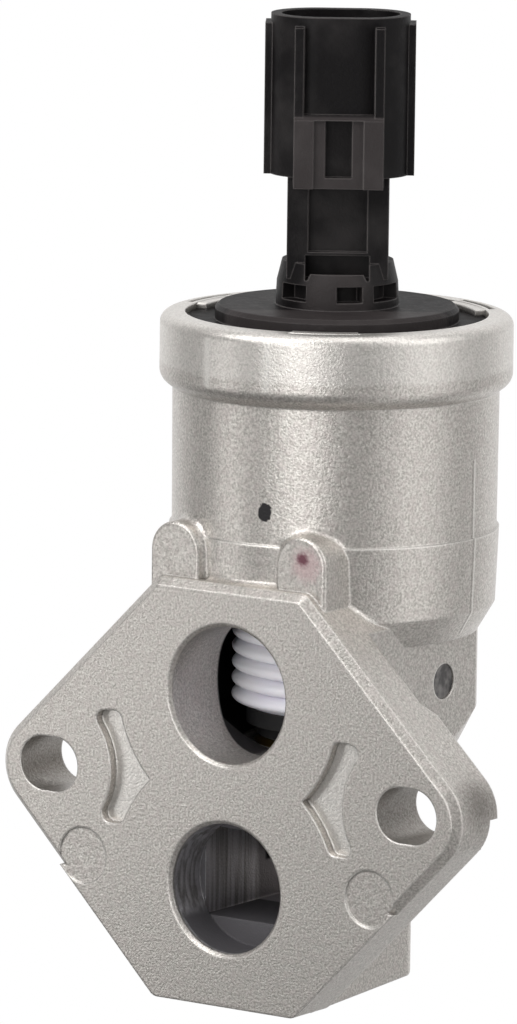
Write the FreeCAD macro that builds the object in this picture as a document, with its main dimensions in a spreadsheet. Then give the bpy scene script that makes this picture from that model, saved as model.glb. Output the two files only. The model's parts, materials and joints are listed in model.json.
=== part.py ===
"""Idle air control valve of a car engine: die-cast housing, solenoid, plunger with bellows, moulded cap.

Frame: the origin is the centre of the flange's mounting face, midway between the bolt holes.
+X runs along the bolt holes, +Y from the mounting face into the casting, +Z up along the valve's axis.
Lengths are millimetres and angles are degrees.
"""
import FreeCAD, Part
import Sketcher
import math
import os

Vector = FreeCAD.Vector

# The two terminals, by the side of the connector that each stands on

TERMINAL_SIDES = {"left": -1, "right": 1}

# Direction of the front, -Y, as an angle about Z, and how closely two equal lengths agree

FRONT_ANGLE = -90
SLACK = 0.02

# Driving dimensions. Each one is a cell of the sheet "Sizes".

DIMENSIONS = {
    # Flange
    "bolt_half_spacing": 25.8,
    "slot_half_length": 4.2,
    "slot_half_width": 3.3,
    "flange_thickness": 6.7,
    "flange_top_height": 24.3,
    "flange_top_half": 10.5,
    "flange_tip_half": 35.5,
    "flange_tip_drop": 0.4,
    "flange_foot_depth": 26.2,
    "flange_foot_half": 10.2,
    "flange_tip_round": 6.0,
    "flange_corner_round": 1.5,
    "flange_edge_chamfer": 0.95,
    "chamfer_end_drop": 12.0,
    "bolt_pad_top": 12.0,
    "bolt_pad_drop": 0.6,
    "bolt_pad_foot": 4.6,
    "bolt_pad_rim": 0.8,
    "bolt_pad_inner": 15.8,
    "bolt_pad_height": 1.5,
    "bolt_pad_bevel": 1.4,
    # Face pockets and ejector marks
    "pocket_depth": 1.2,
    "pocket_bolt_land": 9.1,
    "pocket_arm": 3.2,
    "pocket_inset": 9.3,
    "pocket_rise": 0.75,
    "pocket_reach": 6.8,
    "pocket_round": 1.1,
    "ejector_radius": 3.4,
    "ejector_depth": 0.2,
    "ejector_spread": 20.7,
    "ejector_drop": 10.5,
    # Ports
    "upper_port_height": 11.2,
    "upper_port_radius": 8.2,
    "lower_port_drop": 12.0,
    "lower_port_radius": 7.8,
    "port_length": 6.0,
    "port_draft": 1.0,
    "port_chamfer": 0.4,
    # Lower elbow
    "elbow_half": 10.4,
    "elbow_front": 3.3,
    "elbow_length": 25.8,
    "elbow_top": 3.0,
    "elbow_rise": 1.4,
    "elbow_round": 2.6,
    "elbow_wall": 2.6,
    "channel_half": 7.0,
    "channel_floor": 16.8,
    "channel_roof": 6.0,
    # Can, neck and chambers
    "axis_depth": 21.75,
    "can_radius": 19.45,
    "seam_step": 0.2,
    "seam_height": 29.1,
    "shoulder_height": 20.2,
    "shoulder_radius": 19.3,
    "neck_top": 16.8,
    "neck_radius": 17.3,
    "neck_foot": 7.4,
    "taper_height": 4.4,
    "taper_radius": 15.1,
    "bowl_shoulder": 2.4,
    "bowl_bottom": 14.0,
    "bowl_radius": 9.8,
    "bowl_wall": 2.4,
    "pad_offset": 15.5,
    "pad_foot": 3.0,
    "rim_radius": 21.0,
    "rim_width": 7.7,
    "rim_undercut": 1.2,
    "rim_round": 1.3,
    "rim_foot_round": 1.9,
    "lip_depth": 2.4,
    "lip_step": 0.65,
    "can_wall": 2.05,
    "can_floor": 23.0,
    "clamp_recess_step": 1.15,
    "clamp_recess_depth": 2.0,
    "chamber_radius": 14.4,
    "chamber_cone_height": 3.7,
    "chamber_floor": 2.8,
    "chamber_floor_radius": 10.4,
    "bowl_roof": 2.5,
    "port_block_half": 15.5,
    "port_block_length": 14.0,
    "port_block_foot": 11.0,
    "port_block_waist": 6.0,
    # Bosses over the flange
    "boss_spread": 9.05,
    "boss_half": 3.5,
    "boss_top": 30.8,
    "boss_face": 1.8,
    "boss_length": 6.6,
    "boss_edge": 0.5,
    "root_round": 1.0,
    # Staked tabs of the rim
    "stake_reach": 1.3,
    "stake_height": 0.75,
    "stake_sweep": 26.0,
    "stake_wall": 0.5,
    "stake_groove": 0.8,
    "stake_groove_depth": 1.4,
    "stake_first_angle": 60.0,
    "stake_count": 3,
    # Side plug in the neck's pad
    "plug_radius": 2.15,
    "plug_length": 1.4,
    "plug_recess": 0.2,
    "plug_height": 11.5,
    "plug_shift": 0.9,
    # Valve seat and head
    "seat_radius": 9.2,
    "seat_bore": 7.2,
    "seat_sink": 1.8,
    "seat_proud": 0.8,
    "shaft_radius": 2.0,
    "shaft_tail": 2.4,
    "shaft_bevel": 0.5,
    "head_gap": 0.05,
    "head_radius": 8.8,
    "head_thickness": 1.5,
    "carrier_radius": 10.2,
    "carrier_thickness": 1.9,
    "clip_radius": 3.6,
    "clip_thickness": 0.8,
    # Bellows
    "bellows_radius": 12.0,
    "bellows_root": 9.6,
    "bellows_wall": 0.4,
    "bellows_crest_half": 0.66,
    "bellows_folds": 7,
    "bellows_eye": 3.0,
    "bellows_rim_gap": 0.6,
    "lower_ring_radius": 7.4,
    "lower_ring_thickness": 0.9,
    "upper_ring_bore": 10.6,
    # Solenoid
    "running_gap": 0.06,
    "fit_gap": 0.05,
    "plate_thickness": 2.0,
    "plate_gap": 0.15,
    "seal_wire": 0.65,
    "bush_radius": 4.0,
    "bush_length": 3.0,
    "bush_drop": 0.5,
    "shell_wall": 1.1,
    "solenoid_length": 25.0,
    "bobbin_wall": 1.0,
    "bobbin_flange": 1.2,
    "winding_margin": 0.75,
    "sleeve_radius": 8.25,
    "sleeve_wall": 0.4,
    "core_length": 11.7,
    "core_cone": 1.2,
    "armature_lift": 1.5,
    "armature_stop_gap": 0.5,
    "armature_counterbore": 6.2,
    "armature_counterbore_depth": 5.0,
    "travel": 3.0,
    "spring_seat_lift": 1.0,
    "spring_seat_radius": 3.7,
    "spring_seat_rim": 0.8,
    "return_spring_radius": 3.0,
    "return_spring_wire_radius": 0.2,
    "return_spring_turns": 4,
    "balance_spring_radius": 5.2,
    "balance_spring_wire_radius": 0.25,
    "balance_spring_turns": 4,
    "screw_proud": 1.0,
    "screw_length": 2.6,
    "screw_slot": 0.8,
    "screw_room": 1.0,
    # Cap and connector
    "cap_gap": 0.1,
    "cap_edge": 1.6,
    "plateau_radius": 14.5,
    "plateau_height": 1.8,
    "plateau_chamfer": 0.5,
    "connector_clock": 34.0,
    "connector_foot_radius": 7.3,
    "window_lift": 1.0,
    "window_height": 1.9,
    "window_depth": 1.6,
    "left_window_middle": -46.5,
    "left_window_sweep": 33.0,
    "front_window_middle": 12.5,
    "front_window_sweep": 25.0,
    "right_window_middle": 56.5,
    "right_window_sweep": 39.0,
    "tier_radius": 7.2,
    "tier_top_radius": 6.6,
    "tier_height": 4.4,
    "tier_lip_drop": 1.1,
    "well_half": 3.8,
    "well_front": 6.1,
    "well_back": 2.7,
    "well_depth": 1.9,
    "well_ledge": 0.4,
    "stem_panel_lift": 1.3,
    "stem_half": 6.0,
    "stem_depth_half": 4.4,
    "stem_panel_half": 3.5,
    "stem_panel_depth": 0.9,
    "stem_length": 10.2,
    "shroud_length": 19.0,
    "shroud_half": 8.25,
    "shroud_depth_half": 5.9,
    "shroud_wall": 1.2,
    "socket_depth": 15.5,
    "wing_half": 8.9,
    "wing_front": 1.6,
    "wing_back": 3.4,
    "wing_drop": 1.1,
    "latch_half": 5.3,
    "latch_front": 7.2,
    "latch_drop": 1.1,
    "latch_height": 8.7,
    "latch_slot_half": 1.6,
    "latch_slot_depth": 1.5,
    "latch_slot_foot": 1.3,
    "latch_relief_half": 2.95,
    "latch_relief_depth": 0.4,
    "latch_lip": 0.6,
    "latch_chamfer": 0.6,
    "rail_half": 5.3,
    "rail_width": 1.1,
    "rail_front": 6.9,
    "blade_half_width": 1.15,
    "blade_thickness": 0.7,
    "blade_spread": 3.0,
    "blade_recess": 6.5,
    "blade_taper": 1.4,
    "blade_gap": 0.05,
    "strip_lift": 1.5,
    "strip_height": 1.0,
    "leg_spread": 10.4,
    "leg_half_width": 0.9,
    "leg_reach": 0.7,
}

doc = FreeCAD.newDocument("idle_air_control_valve")
sheet = doc.addObject("Spreadsheet::Sheet", "Sizes")


# Sizes that remember their formula

class Size(float):
    """A number worked out from cells of the sheet, together with the formula that gives it."""

    def __new__(cls, value, formula):
        size = super().__new__(cls, value)
        size.formula = formula
        return size

    def __add__(self, other):
        return Size(float(self) + float(other), f"({self.formula} + {formula_of(other)})")

    def __radd__(self, other):
        return Size(float(other) + float(self), f"({formula_of(other)} + {self.formula})")

    def __sub__(self, other):
        return Size(float(self) - float(other), f"({self.formula} - {formula_of(other)})")

    def __rsub__(self, other):
        return Size(float(other) - float(self), f"({formula_of(other)} - {self.formula})")

    def __mul__(self, other):
        return Size(float(self) * float(other), f"({self.formula} * {formula_of(other)})")

    def __rmul__(self, other):
        return Size(float(other) * float(self), f"({formula_of(other)} * {self.formula})")

    def __truediv__(self, other):
        return Size(float(self) / float(other), f"({self.formula} / {formula_of(other)})")

    def __neg__(self):
        return Size(-float(self), f"(0 - {self.formula})")


def formula_of(number):
    """The formula of a size, or the digits of a plain number."""
    return number.formula if isinstance(number, Size) else f"{float(number):.6f}"


class Sizes:
    """The driving dimensions as attributes, each one bound to its cell."""

    def __init__(self, dimensions):
        for row, (name, value) in enumerate(dimensions.items(), start=1):
            sheet.set(f"A{row}", name)
            sheet.set(f"B{row}", str(value))
            sheet.setAlias(f"B{row}", name)
            setattr(self, name, Size(value, f"Sizes.{name}"))


s = Sizes(DIMENSIONS)
AXIS = Size(0, "0")
doc.recompute()

# Radii of what sits in the can, from its wall inwards

can_bore = s.can_radius - s.can_wall
bowl_bore = s.bowl_radius - s.bowl_wall
lip_radius = can_bore + s.lip_step
clamp_recess_radius = can_bore - s.clamp_recess_step
plate_radius = can_bore - s.plate_gap
shell_radius = can_bore - s.fit_gap
bobbin_radius = shell_radius - s.shell_wall - s.fit_gap
bobbin_bore = s.sleeve_radius + s.fit_gap
slide_radius = s.sleeve_radius - s.sleeve_wall - s.running_gap
core_bore = s.bush_radius + s.fit_gap
cap_radius = lip_radius - s.cap_gap
tab_radius = lip_radius - s.stake_reach

# Heights of the plunger's parts and the bellows, from the seat up

seat_foot = s.chamber_floor - s.seat_sink
seat_top = s.chamber_floor + s.seat_proud
head_bottom = seat_top + s.head_gap
carrier_bottom = head_bottom + s.head_thickness
bellows_bottom = carrier_bottom + s.carrier_thickness
bellows_top = s.can_floor - s.clamp_recess_depth + s.bellows_wall
shaft_foot = head_bottom - s.shaft_tail

# Heights of the solenoid's parts, from the can's floor up

plate_top = s.can_floor + s.plate_thickness
solenoid_top = plate_top + s.solenoid_length
cap_underside = solenoid_top + s.plate_thickness
rim_top = cap_underside + s.lip_depth
core_bottom = cap_underside - s.core_length
armature_bottom = plate_top + s.armature_lift
armature_top = core_bottom - s.travel - s.armature_stop_gap
counterbore_top = armature_bottom + s.armature_counterbore_depth
shaft_top = core_bottom + s.running_gap + s.bush_length + s.spring_seat_lift
screw_top = cap_underside + s.screw_proud
screw_bottom = screw_top - s.screw_length
rim_bottom = rim_top - s.rim_width

# Heights of the cap and connector, from the cap's underside up

leg_bottom = solenoid_top - s.leg_reach
strip_bottom = cap_underside + s.strip_lift
cap_ledge = cap_underside + s.cap_edge
plateau_top = cap_ledge + s.plateau_height
window_bottom = plateau_top + s.window_lift
tier_top = window_bottom + s.tier_height
well_bottom = tier_top - s.well_depth
stem_panel_bottom = tier_top + s.stem_panel_lift
shroud_bottom = tier_top + s.stem_length
shroud_top = shroud_bottom + s.shroud_length
wing_top = shroud_top - s.wing_drop
blade_tip = shroud_top - s.blade_recess
latch_bottom = shroud_bottom - s.latch_drop
latch_top = latch_bottom + s.latch_height
latch_slot_bottom = latch_bottom + s.latch_slot_foot
latch_relief_top = latch_top - s.latch_lip


# Helpers for features whose sizes are bound to the sheet

def bind(obj, path, size):
    """Bind one property of an object to a size's formula."""
    obj.setExpression(path, formula_of(size))


def place(obj, x=0, y=0, z=0, clock=None):
    """Bind an object's position, and its turn about Z where one is given."""
    bind(obj, "Placement.Base.x", x)
    bind(obj, "Placement.Base.y", y)
    bind(obj, "Placement.Base.z", z)
    if clock is not None:
        bind(obj, "Placement.Rotation.Angle", clock)


def new_body(label, on_axis=True):
    """An empty body, on the valve's axis or in the flange's frame."""
    body = doc.addObject("PartDesign::Body", label)
    body.Label = label
    if on_axis:
        place(body, y=s.axis_depth)
    return body


def origin_plane(body, role):
    """One of the origin planes of a body."""
    return next(feature for feature in body.Origin.OriginFeatures if feature.Role == role)


def new_sketch(body, role, offset=None):
    """A sketch on an origin plane, moved along the plane's normal by an offset."""
    sketch = body.newObject("Sketcher::SketchObject", "Sketch")
    sketch.AttachmentSupport = [(origin_plane(body, role), "")]
    sketch.MapMode = "FlatFace"
    if offset is not None:
        bind(sketch, "AttachmentOffset.Base.z", offset)
    return sketch


def pin_vertex(sketch, line, x, z):
    """Bind the start of a line to its distances from the sketch's origin."""
    horizontal = sketch.addConstraint(Sketcher.Constraint("DistanceX", -1, 1, line, 1, float(x)))
    bind(sketch, f"Constraints[{horizontal}]", x)
    vertical = sketch.addConstraint(Sketcher.Constraint("DistanceY", -1, 1, line, 1, float(z)))
    bind(sketch, f"Constraints[{vertical}]", z)


def polygon(sketch, corners):
    """A closed outline of straight lines, every corner bound to the sheet."""
    points = [Vector(float(x), float(z), 0) for x, z in corners]
    first = sketch.GeometryCount
    for start, end in zip(points, points[1:] + points[:1]):
        sketch.addGeometry(Part.LineSegment(start, end), False)
    for step in range(len(corners)):
        following = (step + 1) % len(corners)
        sketch.addConstraint(Sketcher.Constraint("Coincident", first + step, 2, first + following, 1))
    for step, (x, z) in enumerate(corners):
        pin_vertex(sketch, first + step, x, z)


def circle(sketch, x, z, radius):
    """A full circle bound to the sheet."""
    round_edge = sketch.addGeometry(
        Part.Circle(Vector(float(x), float(z), 0), Vector(0, 0, 1), float(radius)), False)
    terms = (("DistanceX", -1, 1, round_edge, 3, float(x)), ("DistanceY", -1, 1, round_edge, 3, float(z)))
    for term, value in zip(terms, (x, z)):
        bind(sketch, f"Constraints[{sketch.addConstraint(Sketcher.Constraint(*term))}]", value)
    width = sketch.addConstraint(Sketcher.Constraint("Radius", round_edge, float(radius)))
    bind(sketch, f"Constraints[{width}]", radius)


def stadium(sketch, x, z, half_length, half_width):
    """A slot along the first axis: two half circles joined by two straight sides."""
    reach = half_length - half_width
    right = Vector(float(x + reach), float(z), 0)
    left = Vector(float(x - reach), float(z), 0)
    up = Vector(0, float(half_width), 0)
    normal = Vector(0, 0, 1)
    first = sketch.GeometryCount
    sketch.addGeometry(Part.ArcOfCircle(Part.Circle(right, normal, half_width), -math.pi / 2, math.pi / 2))
    sketch.addGeometry(Part.LineSegment(right + up, left + up))
    sketch.addGeometry(Part.ArcOfCircle(Part.Circle(left, normal, half_width), math.pi / 2, math.pi * 1.5))
    sketch.addGeometry(Part.LineSegment(left - up, right - up))
    joints = ((0, 2, 1, 1), (1, 2, 2, 1), (2, 2, 3, 1), (3, 2, 0, 1))
    for one, one_end, other, other_end in joints:
        sketch.addConstraint(Sketcher.Constraint("Tangent", first + one, one_end, first + other, other_end))
    for arc, centre in ((first, x + reach), (first + 2, x - reach)):
        across = sketch.addConstraint(Sketcher.Constraint("DistanceX", -1, 1, arc, 3, float(centre)))
        bind(sketch, f"Constraints[{across}]", centre)
    height = sketch.addConstraint(Sketcher.Constraint("DistanceY", -1, 1, first, 3, float(z)))
    bind(sketch, f"Constraints[{height}]", z)
    level = sketch.addConstraint(Sketcher.Constraint("DistanceY", -1, 1, first + 2, 3, float(z)))
    bind(sketch, f"Constraints[{level}]", z)
    width = sketch.addConstraint(Sketcher.Constraint("Radius", first, float(half_width)))
    bind(sketch, f"Constraints[{width}]", half_width)


def arch(sketch, x, foot, top, half_width):
    """A doorway: two upright sides from a straight foot, joined by a half circle at the top."""
    spring = top - half_width
    centre = Vector(float(x), float(spring), 0)
    left = x - half_width
    right = x + half_width
    corners = ((left, spring), (left, foot), (right, foot), (right, spring))
    points = [Vector(float(across), float(up), 0) for across, up in corners]
    first = sketch.GeometryCount
    sketch.addGeometry(Part.ArcOfCircle(Part.Circle(centre, Vector(0, 0, 1), float(half_width)), 0, math.pi))
    for start, end in zip(points, points[1:]):
        sketch.addGeometry(Part.LineSegment(start, end), False)
    joints = ((0, 2, 1, 1), (1, 2, 2, 1), (2, 2, 3, 1), (3, 2, 0, 1))
    for one, one_end, other, other_end in joints:
        joint = Sketcher.Constraint("Coincident", first + one, one_end, first + other, other_end)
        sketch.addConstraint(joint)
    for line, (across, up) in zip((first + 1, first + 2, first + 3), corners):
        pin_vertex(sketch, line, across, up)
    across = sketch.addConstraint(Sketcher.Constraint("DistanceX", -1, 1, first, 3, float(x)))
    bind(sketch, f"Constraints[{across}]", x)
    up = sketch.addConstraint(Sketcher.Constraint("DistanceY", -1, 1, first, 3, float(spring)))
    bind(sketch, f"Constraints[{up}]", spring)


def extrude(body, sketch, length, cut=False, reverse=False, both_sides=False):
    """A pad or pocket whose length is bound to the sheet."""
    feature = body.newObject("PartDesign::Pocket" if cut else "PartDesign::Pad", "Extrusion")
    feature.Profile = sketch
    feature.Reversed = reverse
    feature.Midplane = both_sides
    bind(feature, "Length", length)
    return feature


def spin(body, corners, cut=False):
    """A solid or groove of revolution about the body's Z axis, from an outline of radius and height."""
    sketch = new_sketch(body, "XZ_Plane")
    polygon(sketch, corners)
    feature = body.newObject("PartDesign::Groove" if cut else "PartDesign::Revolution", "Turning")
    feature.Profile = sketch
    feature.ReferenceAxis = (sketch, ["V_Axis"])
    feature.Angle = 360
    return feature


def turned(label, corners):
    """A turned piece on the valve's axis."""
    body = new_body(label)
    spin(body, corners)
    return body


def ring(label, inner, outer, bottom, top):
    """A plain ring on the valve's axis."""
    return turned(label, [(inner, bottom), (outer, bottom), (outer, top), (inner, top)])


def ease(body, kind, size, edge_wanted):
    """A fillet or chamfer on the edges of the tip that a test picks out."""
    doc.recompute()
    tip = body.Tip
    names = [f"Edge{number}" for number, edge in enumerate(tip.Shape.Edges, start=1) if edge_wanted(edge)]
    feature = body.newObject(f"PartDesign::{kind}", kind)
    feature.Base = (tip, names)
    bind(feature, "Radius" if kind == "Fillet" else "Size", size)
    body.Tip = feature
    return feature


def close(first, second, slack=SLACK):
    """Whether two lengths agree."""
    return abs(float(first) - float(second)) < slack


def runs_along(edge, axis):
    """Whether an edge is straight along an axis, given as a unit vector."""
    if edge.Curve.TypeId != "Part::GeomLine":
        return False
    return abs(edge.tangentAt(edge.FirstParameter).dot(axis)) > 0.999


def is_ring(edge, radius, height, centre=Vector(0, 0, 0)):
    """Whether an edge is a horizontal circle of this radius and height about the valve's axis."""
    if edge.Curve.TypeId != "Part::GeomCircle":
        return False
    same_place = math.hypot(edge.Curve.Center.x - centre.x, edge.Curve.Center.y - centre.y) < 0.01
    return same_place and close(edge.Curve.Radius, radius) and close(edge.Curve.Center.z, height)


def solid_feature(label, shape, y=None):
    """A piece whose shape is worked out here, moved onto the valve's axis."""
    feature = doc.addObject("Part::Feature", label)
    feature.Label = label
    feature.Shape = shape
    bind(feature, "Placement.Base.y", s.axis_depth if y is None else y)
    return feature


# Housing

def housing_outline():
    """Outer section of the can, neck and bowl: radius and height."""
    return [
        (AXIS, -s.bowl_bottom),
        (s.bowl_radius, -s.bowl_bottom),
        (s.bowl_radius, -s.bowl_shoulder),
        (s.taper_radius, s.neck_foot - s.taper_height),
        (s.neck_radius, s.neck_foot),
        (s.neck_radius, s.neck_top),
        (s.shoulder_radius, s.shoulder_height),
        (s.can_radius, rim_bottom - s.rim_undercut),
        (s.rim_radius, rim_bottom),
        (s.rim_radius, rim_top),
        (AXIS, rim_top),
    ]


def seam_ring():
    """Section of the lower can's thicker skin, which ends in a ledge at the seam: radius and height."""
    inside = s.can_radius - s.can_wall / 2
    return [
        (inside, s.shoulder_height),
        (s.shoulder_radius, s.shoulder_height),
        (s.can_radius + s.seam_step, s.seam_height),
        (inside, s.seam_height),
    ]


def on_can(edge):
    """Whether an edge is where something else meets the can's side, above the shoulder."""
    draft = (s.can_radius - s.shoulder_radius) / (rim_bottom - s.rim_undercut - s.shoulder_height)
    reach = edge.LastParameter - edge.FirstParameter
    for share in (0, 0.5, 1):
        point = edge.valueAt(edge.FirstParameter + share * reach)
        radius = s.shoulder_radius + draft * (point.z - s.shoulder_height)
        if not (s.shoulder_height - SLACK < point.z < rim_bottom - s.rim_undercut - SLACK):
            return False
        if not close(math.hypot(point.x, point.y), radius):
            return False
    return not is_ring(edge, s.shoulder_radius, s.shoulder_height)


def housing_bore():
    """Section of the hollow: lip, can, clamp recess, upper chamber, seat bore and bowl."""
    proud = rim_top + s.rim_round
    return [
        (AXIS, proud),
        (lip_radius, proud),
        (lip_radius, rim_top - s.lip_depth),
        (can_bore, rim_top - s.lip_depth),
        (can_bore, s.can_floor),
        (clamp_recess_radius, s.can_floor),
        (clamp_recess_radius, s.can_floor - s.clamp_recess_depth),
        (s.chamber_radius, s.can_floor - s.clamp_recess_depth),
        (s.chamber_radius, s.chamber_floor + s.chamber_cone_height),
        (s.chamber_floor_radius, s.chamber_floor),
        (s.seat_radius, s.chamber_floor),
        (s.seat_radius, seat_foot),
        (s.seat_bore, seat_foot),
        (s.seat_bore, -s.bowl_roof),
        (bowl_bore, -s.bowl_roof),
        (bowl_bore, s.bowl_wall - s.bowl_bottom),
        (AXIS, s.bowl_wall - s.bowl_bottom),
    ]


def flange_outline():
    """Corners of the flange, from the top right one round."""
    return [
        (s.flange_top_half, s.flange_top_height),
        (s.flange_tip_half, -s.flange_tip_drop),
        (s.flange_foot_half, -s.flange_foot_depth),
        (-s.flange_foot_half, -s.flange_foot_depth),
        (-s.flange_tip_half, -s.flange_tip_drop),
        (-s.flange_top_half, s.flange_top_height),
    ]


def lower_edge_half(drop):
    """Half width of the flange at a distance below the bolt holes, on its lower slanted edges."""
    slope = (s.flange_tip_half - s.flange_foot_half) / (s.flange_foot_depth - s.flange_tip_drop)
    return s.flange_tip_half - slope * (drop - s.flange_tip_drop)


def bolt_pad_outline(side):
    """Corners of the thicker back of the flange behind one bolt hole, on the flange's own slanted edges."""
    slope = (s.flange_tip_half - s.flange_top_half) / (s.flange_top_height + s.flange_tip_drop)
    upper = s.flange_top_half + slope * (s.flange_top_height - s.bolt_pad_top)
    slot_end = s.bolt_half_spacing + s.slot_half_length + s.bolt_pad_rim
    return [
        (side * s.bolt_pad_inner, s.bolt_pad_top),
        (side * upper, s.bolt_pad_top),
        (side * s.flange_tip_half, -s.flange_tip_drop),
        (side * lower_edge_half(s.bolt_pad_drop), -s.bolt_pad_drop),
        (side * slot_end, -s.bolt_pad_drop),
        (side * slot_end, -s.bolt_pad_foot),
        (side * s.bolt_pad_inner, -s.bolt_pad_foot),
    ]


def upper_edge_height(half):
    """Height of the flange at a half width, on its upper slanted edges."""
    slope = (s.flange_top_height + s.flange_tip_drop) / (s.flange_tip_half - s.flange_top_half)
    return s.flange_top_height - slope * (half - s.flange_top_half)


def port_block_outline():
    """Corners of the block between flange and neck: the flange's own slanted shoulders, narrower below."""
    right = [
        (s.port_block_foot, -s.elbow_top),
        (s.port_block_half, s.port_block_waist),
        (s.port_block_half, upper_edge_height(s.port_block_half)),
        (s.flange_top_half, s.flange_top_height),
    ]
    return right + [(-x, z) for x, z in reversed(right)]


def apron_outline():
    """Corners of the flange's foot, whose edges stay sharp, from the ends of the chamfer down."""
    half = lower_edge_half(s.chamfer_end_drop)
    return [
        (half, -s.chamfer_end_drop),
        (s.flange_foot_half, -s.flange_foot_depth),
        (-s.flange_foot_half, -s.flange_foot_depth),
        (-half, -s.chamfer_end_drop),
    ]


def housing_blank():
    """The casting before the cuts that carry no size of their own."""
    body = new_body("housing_blank")
    face = s.axis_depth

    outline = new_sketch(body, "XZ_Plane", face)
    polygon(outline, flange_outline())
    extrude(body, outline, s.flange_thickness, reverse=True)
    depth_axis = Vector(0, 1, 0)
    for side in (-1, 1):
        pad = new_sketch(body, "XZ_Plane", face - s.flange_thickness)
        polygon(pad, bolt_pad_outline(side))
        extrude(body, pad, s.bolt_pad_height, reverse=True)
    ease(body, "Chamfer", s.bolt_pad_bevel,
         lambda edge: runs_along(edge, Vector(1, 0, 0)) and close(edge.CenterOfMass.z, s.bolt_pad_top)
         and close(edge.CenterOfMass.y, s.flange_thickness + s.bolt_pad_height - face))
    ease(body, "Fillet", s.flange_tip_round,
         lambda edge: runs_along(edge, depth_axis) and close(abs(edge.Vertexes[0].X), s.flange_tip_half))
    ease(body, "Fillet", s.flange_corner_round,
         lambda edge: runs_along(edge, depth_axis) and close(edge.Vertexes[0].Z, s.flange_top_height))
    ease(body, "Chamfer", s.flange_edge_chamfer,
         lambda edge: close(edge.BoundBox.YMin, -face) and close(edge.BoundBox.YMax, -face))
    apron = new_sketch(body, "XZ_Plane", face)
    polygon(apron, apron_outline())
    extrude(body, apron, s.flange_thickness, reverse=True)
    ease(body, "Fillet", s.flange_corner_round,
         lambda edge: runs_along(edge, depth_axis) and close(edge.Vertexes[0].Z, -s.flange_foot_depth))

    block = new_sketch(body, "XZ_Plane", face - s.flange_thickness)
    polygon(block, port_block_outline())
    extrude(body, block, s.port_block_length - s.flange_thickness, reverse=True)

    elbow = new_sketch(body, "YZ_Plane")
    front_rise = s.elbow_rise * s.elbow_front / s.elbow_length
    polygon(elbow, [
        (s.elbow_front - face, front_rise - s.flange_foot_depth),
        (s.elbow_length - face, s.elbow_rise - s.flange_foot_depth),
        (s.elbow_length - face, -s.elbow_top),
        (s.elbow_front - face, -s.elbow_top),
    ])
    extrude(body, elbow, 2 * s.elbow_half, both_sides=True)
    ease(body, "Fillet", s.elbow_round, lambda edge: edge.BoundBox.YMin > s.elbow_length - face - 0.01
         and edge.BoundBox.ZMax < -s.elbow_top + 0.01 and not close(edge.CenterOfMass.z, -s.elbow_top))

    spin(body, housing_outline())

    boss_front = s.boss_face - face
    for side in (-1, 1):
        boss = new_sketch(body, "XZ_Plane", face - s.boss_face)
        arch(boss, side * s.boss_spread, s.shoulder_height, s.boss_top, s.boss_half)
        extrude(body, boss, s.boss_length, reverse=True)
    ease(body, "Fillet", s.boss_edge,
         lambda edge: close(edge.BoundBox.YMin, boss_front) and close(edge.BoundBox.YMax, boss_front)
         and edge.CenterOfMass.z > s.flange_top_height + SLACK)
    ease(body, "Fillet", s.root_round, on_can)
    spin(body, seam_ring())
    ease(body, "Fillet", s.rim_foot_round, lambda edge: is_ring(edge, s.rim_radius, rim_bottom))
    ease(body, "Fillet", s.rim_round, lambda edge: is_ring(edge, s.rim_radius, rim_top))
    spin(body, housing_bore(), cut=True)

    ports = ((s.upper_port_radius, s.upper_port_height), (s.lower_port_radius, -s.lower_port_drop))
    for radius, height in ports:
        port = new_sketch(body, "XZ_Plane", face)
        circle(port, AXIS, height, radius)
        extrude(body, port, s.port_length, cut=True)
    throat = new_sketch(body, "XZ_Plane", face - s.port_length)
    circle(throat, AXIS, s.upper_port_height, s.upper_port_radius)
    drafted = extrude(body, throat, face - s.port_length, cut=True)
    bind(drafted, "TaperAngle", s.port_draft)

    channel = new_sketch(body, "YZ_Plane")
    polygon(channel, [
        (s.port_length - face, -s.channel_floor),
        (s.elbow_length - s.elbow_wall - face, -s.channel_floor),
        (s.elbow_length - s.elbow_wall - face, -s.channel_roof),
        (s.port_length - face, -s.channel_roof),
    ])
    extrude(body, channel, 2 * s.channel_half, cut=True, both_sides=True)

    slots = new_sketch(body, "XZ_Plane", face)
    for side in (-1, 1):
        stadium(slots, side * s.bolt_half_spacing, AXIS, s.slot_half_length, s.slot_half_width)
    extrude(body, slots, s.flange_thickness + s.bolt_pad_height + s.running_gap, cut=True)
    ease(body, "Chamfer", s.port_chamfer,
         lambda edge: close(edge.BoundBox.YMin, -face) and close(edge.BoundBox.YMax, -face)
         and edge.Curve.TypeId == "Part::GeomCircle"
         and (close(edge.Curve.Radius, s.upper_port_radius) or close(edge.Curve.Radius, s.lower_port_radius)))
    return body


def face_pocket(side):
    """The three-cornered pocket between a bolt hole's land and the lands round the two ports."""
    depth = Vector(0, 1, 0)
    centre = s.bolt_half_spacing - s.pocket_inset
    blank = Part.makeCylinder(s.pocket_reach, 2 * s.pocket_depth,
                              Vector(centre, -s.pocket_depth, s.pocket_rise), depth)
    lands = [(s.bolt_half_spacing, AXIS, s.pocket_bolt_land)]
    for height in (s.upper_port_height, -s.lower_port_drop):
        pitch = math.hypot(s.bolt_half_spacing, height)
        lands.append((AXIS, height, pitch - s.pocket_bolt_land - s.pocket_arm))
    for x, z, radius in lands:
        foot = Vector(x, -2 * s.pocket_depth, z)
        blank = blank.cut(Part.makeCylinder(radius, 4 * s.pocket_depth, foot, depth))
    blank = min(blank.Solids, key=lambda solid: abs(solid.CenterOfMass.x - centre))
    ends = [edge for edge in blank.Edges if runs_along(edge, depth) and close(s.pocket_reach, math.hypot(
        edge.CenterOfMass.x - centre, edge.CenterOfMass.z - s.pocket_rise))]
    blank = blank.makeFillet(s.pocket_round, ends)
    return blank if side > 0 else blank.mirror(Vector(0, 0, 0), Vector(1, 0, 0))


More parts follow.
